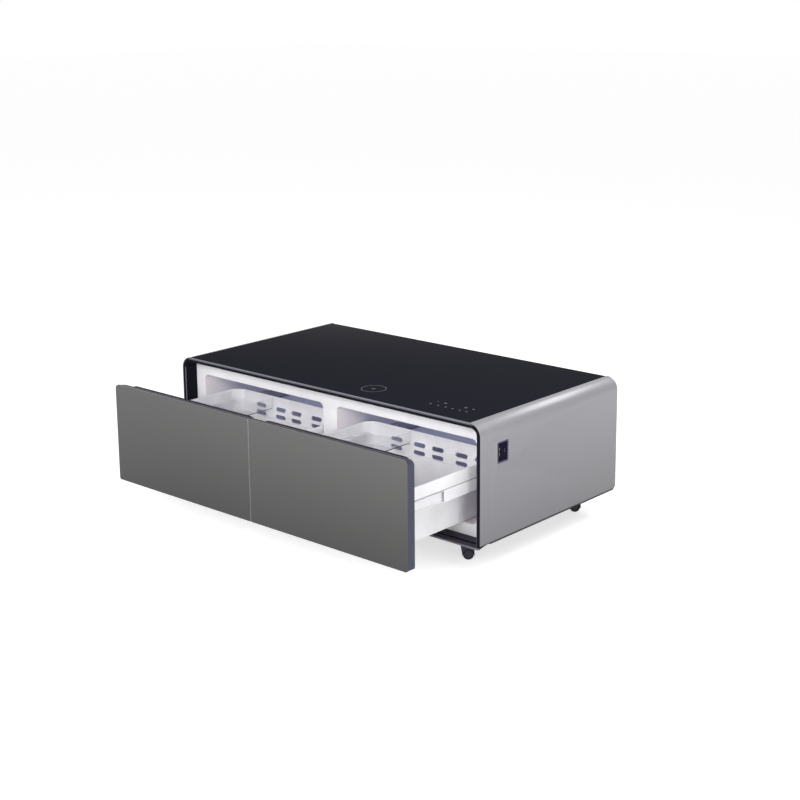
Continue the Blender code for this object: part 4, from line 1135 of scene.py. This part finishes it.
def make_socket():
    y, z = plate_at
    port_y = 0.0125
    port_z = 0.00775
    ports = [(y - port_y, z - port_z), (y - port_y, z + port_z), (y + port_y, z)]
    make_socket_plate(ports)
    make_ports(ports)


def screw_head(x, z, radius, seat):
    """A pan head with a cross recess, no higher than the table's back allows."""
    height = min(0.0011, table_depth - 0.0001 - seat)
    profile = [
        (seat + 0.00002, radius),
        (seat + height * 0.35, radius * 0.985),
        (seat + height * 0.70, radius * 0.86),
        (seat + height * 0.92, radius * 0.60),
        (seat + height, radius * 0.25),
    ]
    arm = radius * 0.58
    thin = radius * 0.13
    low = seat + height * 0.45
    high = seat + height + 0.001
    cross = [
        block(x - arm, x + arm, low, high, z - thin, z + thin),
        block(x - thin, x + thin, low, high, z - arm, z + arm),
    ]
    return cut(turned("Y", (x, z), profile, 24), *cross)


def make_screws():
    """The screws round the back panel and at the mains inlet."""
    seat = back_panel + sheet
    panel_radius = 0.0034
    panel_xs = (-0.60, -0.36, -0.12, 0.12, 0.36, 0.60)
    panel_zs = (0.098, 0.425)
    side_xs = (-0.636, 0.636)
    side_z = 0.26
    inlet_radius = 0.0022
    inlet_flange = fit_gap + 0.003
    inlet_xs = (0.500, 0.540)
    inlet_z = base_height + 0.067
    heads = [screw_head(x, z, panel_radius, seat) for x in panel_xs for z in panel_zs]
    heads += [screw_head(x, side_z, panel_radius, seat) for x in side_xs]
    heads += [screw_head(x, inlet_z, inlet_radius, seat + inlet_flange) for x in inlet_xs]
    piece("panel_screws", gathered(*heads), "zinc_steel", "cabinet", location=cabinet_at)


make_side_panels()
make_casters()
make_socket()
make_screws()
make_glass()
make_marks()
make_ring()
make_liner()
for side, word in ((-1, "left"), (1, "right")):
    make_drawer_front(side, word)
    make_bin(side, word)
    make_tray(side, word)


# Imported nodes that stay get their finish, welded faces and soft edges


def soften(made, width):
    weld = made.modifiers.new("weld", "WELD")
    weld.merge_threshold = 0.00001
    plane = made.modifiers.new("flat", "DECIMATE")
    plane.decimate_type = "DISSOLVE"
    plane.angle_limit = math.radians(1)
    bevel = made.modifiers.new("soft", "BEVEL")
    bevel.width = width
    bevel.segments = 2
    bevel.limit_method = "ANGLE"
    bevel.angle_limit = math.radians(40)


slots = {row["node"]: row["material_slot"] for row in frame["record"]["subparts"]}
for name, made in nodes.items():
    if made.hide_render:
        continue
    made.data.materials.clear()
    # The evaporators take the liner's look, with its painted shade and painted glow, instead of their own
    # finish.
    made.data.materials.append(looks["cold_plate" if name.startswith("evaporator") else slots[name]])
    soften(made, 0.0004)


# Floor, light and camera


def background_rays(tree):
    """1 for rays from the camera, a gloss or a clear part, which see the pale background, else 0."""
    path = tree.nodes.new("ShaderNodeLightPath")
    last = path.outputs["Is Camera Ray"]
    for word in ("Is Glossy Ray", "Is Transmission Ray"):
        node = tree.nodes.new("ShaderNodeMath")
        node.operation = "MAXIMUM"
        tree.links.new(last, node.inputs[0])
        tree.links.new(path.outputs[word], node.inputs[1])
        last = node.outputs[0]
    return last


def floor_material(albedo, glow):
    made = bpy.data.materials.new("studio_floor")
    made.use_nodes = True
    tree = made.node_tree
    shader = tree.nodes["Principled BSDF"]
    shader.inputs["Base Color"].default_value = (albedo, albedo, albedo, 1)
    shader.inputs["Roughness"].default_value = 0.9
    shader.inputs["Emission Color"].default_value = (1, 1, 1, 1)
    scale = tree.nodes.new("ShaderNodeMath")
    scale.operation = "MULTIPLY"
    scale.inputs[1].default_value = glow
    tree.links.new(background_rays(tree), scale.inputs[0])
    tree.links.new(scale.outputs[0], shader.inputs["Emission Strength"])
    return made


def make_floor(albedo, glow):
    reach = 30
    mesh = bpy.data.meshes.new("floor")
    corners = [(-reach, -reach, 0), (reach, -reach, 0), (reach, reach, 0), (-reach, reach, 0)]
    mesh.from_pydata(corners, [], [(0, 1, 2, 3)])
    made = bpy.data.objects.new("floor", mesh)
    bpy.context.scene.collection.objects.link(made)
    mesh.materials.append(floor_material(albedo, glow))


def make_world(ambient):
    """A white background that lights the object at an ambient share of its strength."""
    world = bpy.data.worlds.new("studio")
    bpy.context.scene.world = world
    world.use_nodes = True
    tree = world.node_tree
    ground = tree.nodes["Background"]
    ground.inputs["Color"].default_value = (1, 1, 1, 1)
    share = tree.nodes.new("ShaderNodeMapRange")
    share.inputs["To Min"].default_value = ambient
    share.inputs["To Max"].default_value = 1
    tree.links.new(background_rays(tree), share.inputs["Value"])
    tree.links.new(share.outputs["Result"], ground.inputs["Strength"])


def make_lamp(name, spot, aim, size, power):
    data = bpy.data.lights.new(name, "AREA")
    data.shape = "RECTANGLE"
    data.size, data.size_y = size
    data.energy = power
    lamp = bpy.data.objects.new(name, data)
    bpy.context.scene.collection.objects.link(lamp)
    lamp.location = spot
    lamp.rotation_euler = (Vector(aim) - Vector(spot)).to_track_quat("-Z", "Y").to_euler()


def make_camera(spot, turn, rise, roll, lens):
    """The photograph's camera: where it stands, and how it is turned, raised and rolled, in degrees."""
    turn, rise, roll = (math.radians(angle) for angle in (turn, rise, roll))
    back = Vector((math.sin(turn) * math.cos(rise), -math.cos(turn) * math.cos(rise), math.sin(rise)))
    right = (-back).cross(Vector((0, 0, 1))).normalized()
    up = right.cross(-back).normalized()
    across = right * math.cos(roll) + up * math.sin(roll)
    upward = up * math.cos(roll) - right * math.sin(roll)
    data = bpy.data.cameras.new("camera")
    data.sensor_width = 36
    data.lens = lens
    data.shift_y = -0.1
    data.clip_end = 200
    made = bpy.data.objects.new("camera", data)
    bpy.context.scene.collection.objects.link(made)
    matrix = Matrix((across, upward, back)).transposed().to_4x4()
    matrix.translation = spot
    made.matrix_world = matrix
    bpy.context.scene.camera = made


make_floor(albedo=0.62, glow=0.66)
make_world(0.43)
make_lamp("key", (0.9, -4.5, 2.3), (-0.1, -0.2, 0.3), (3.0, 2.2), 169)
make_lamp("side", (4.0, -1.6, 0.9), (0.45, -0.33, 0.25), (1.6, 1.0), 49)
make_lamp("high", (2.3, 0.0, 3.0), (0.5, 0, 0.35), (2.4, 2.4), 30)
make_lamp("back", (1.0, 3.4, 3.0), (0.1, 0.3, 0.3), (2.4, 1.4), 60)
make_camera((3.2186, -3.4242, 1.6691), turn=41.7004, rise=12.4588, roll=-0.483, lens=67.637)
bpy.context.scene.view_settings.view_transform = "Standard"
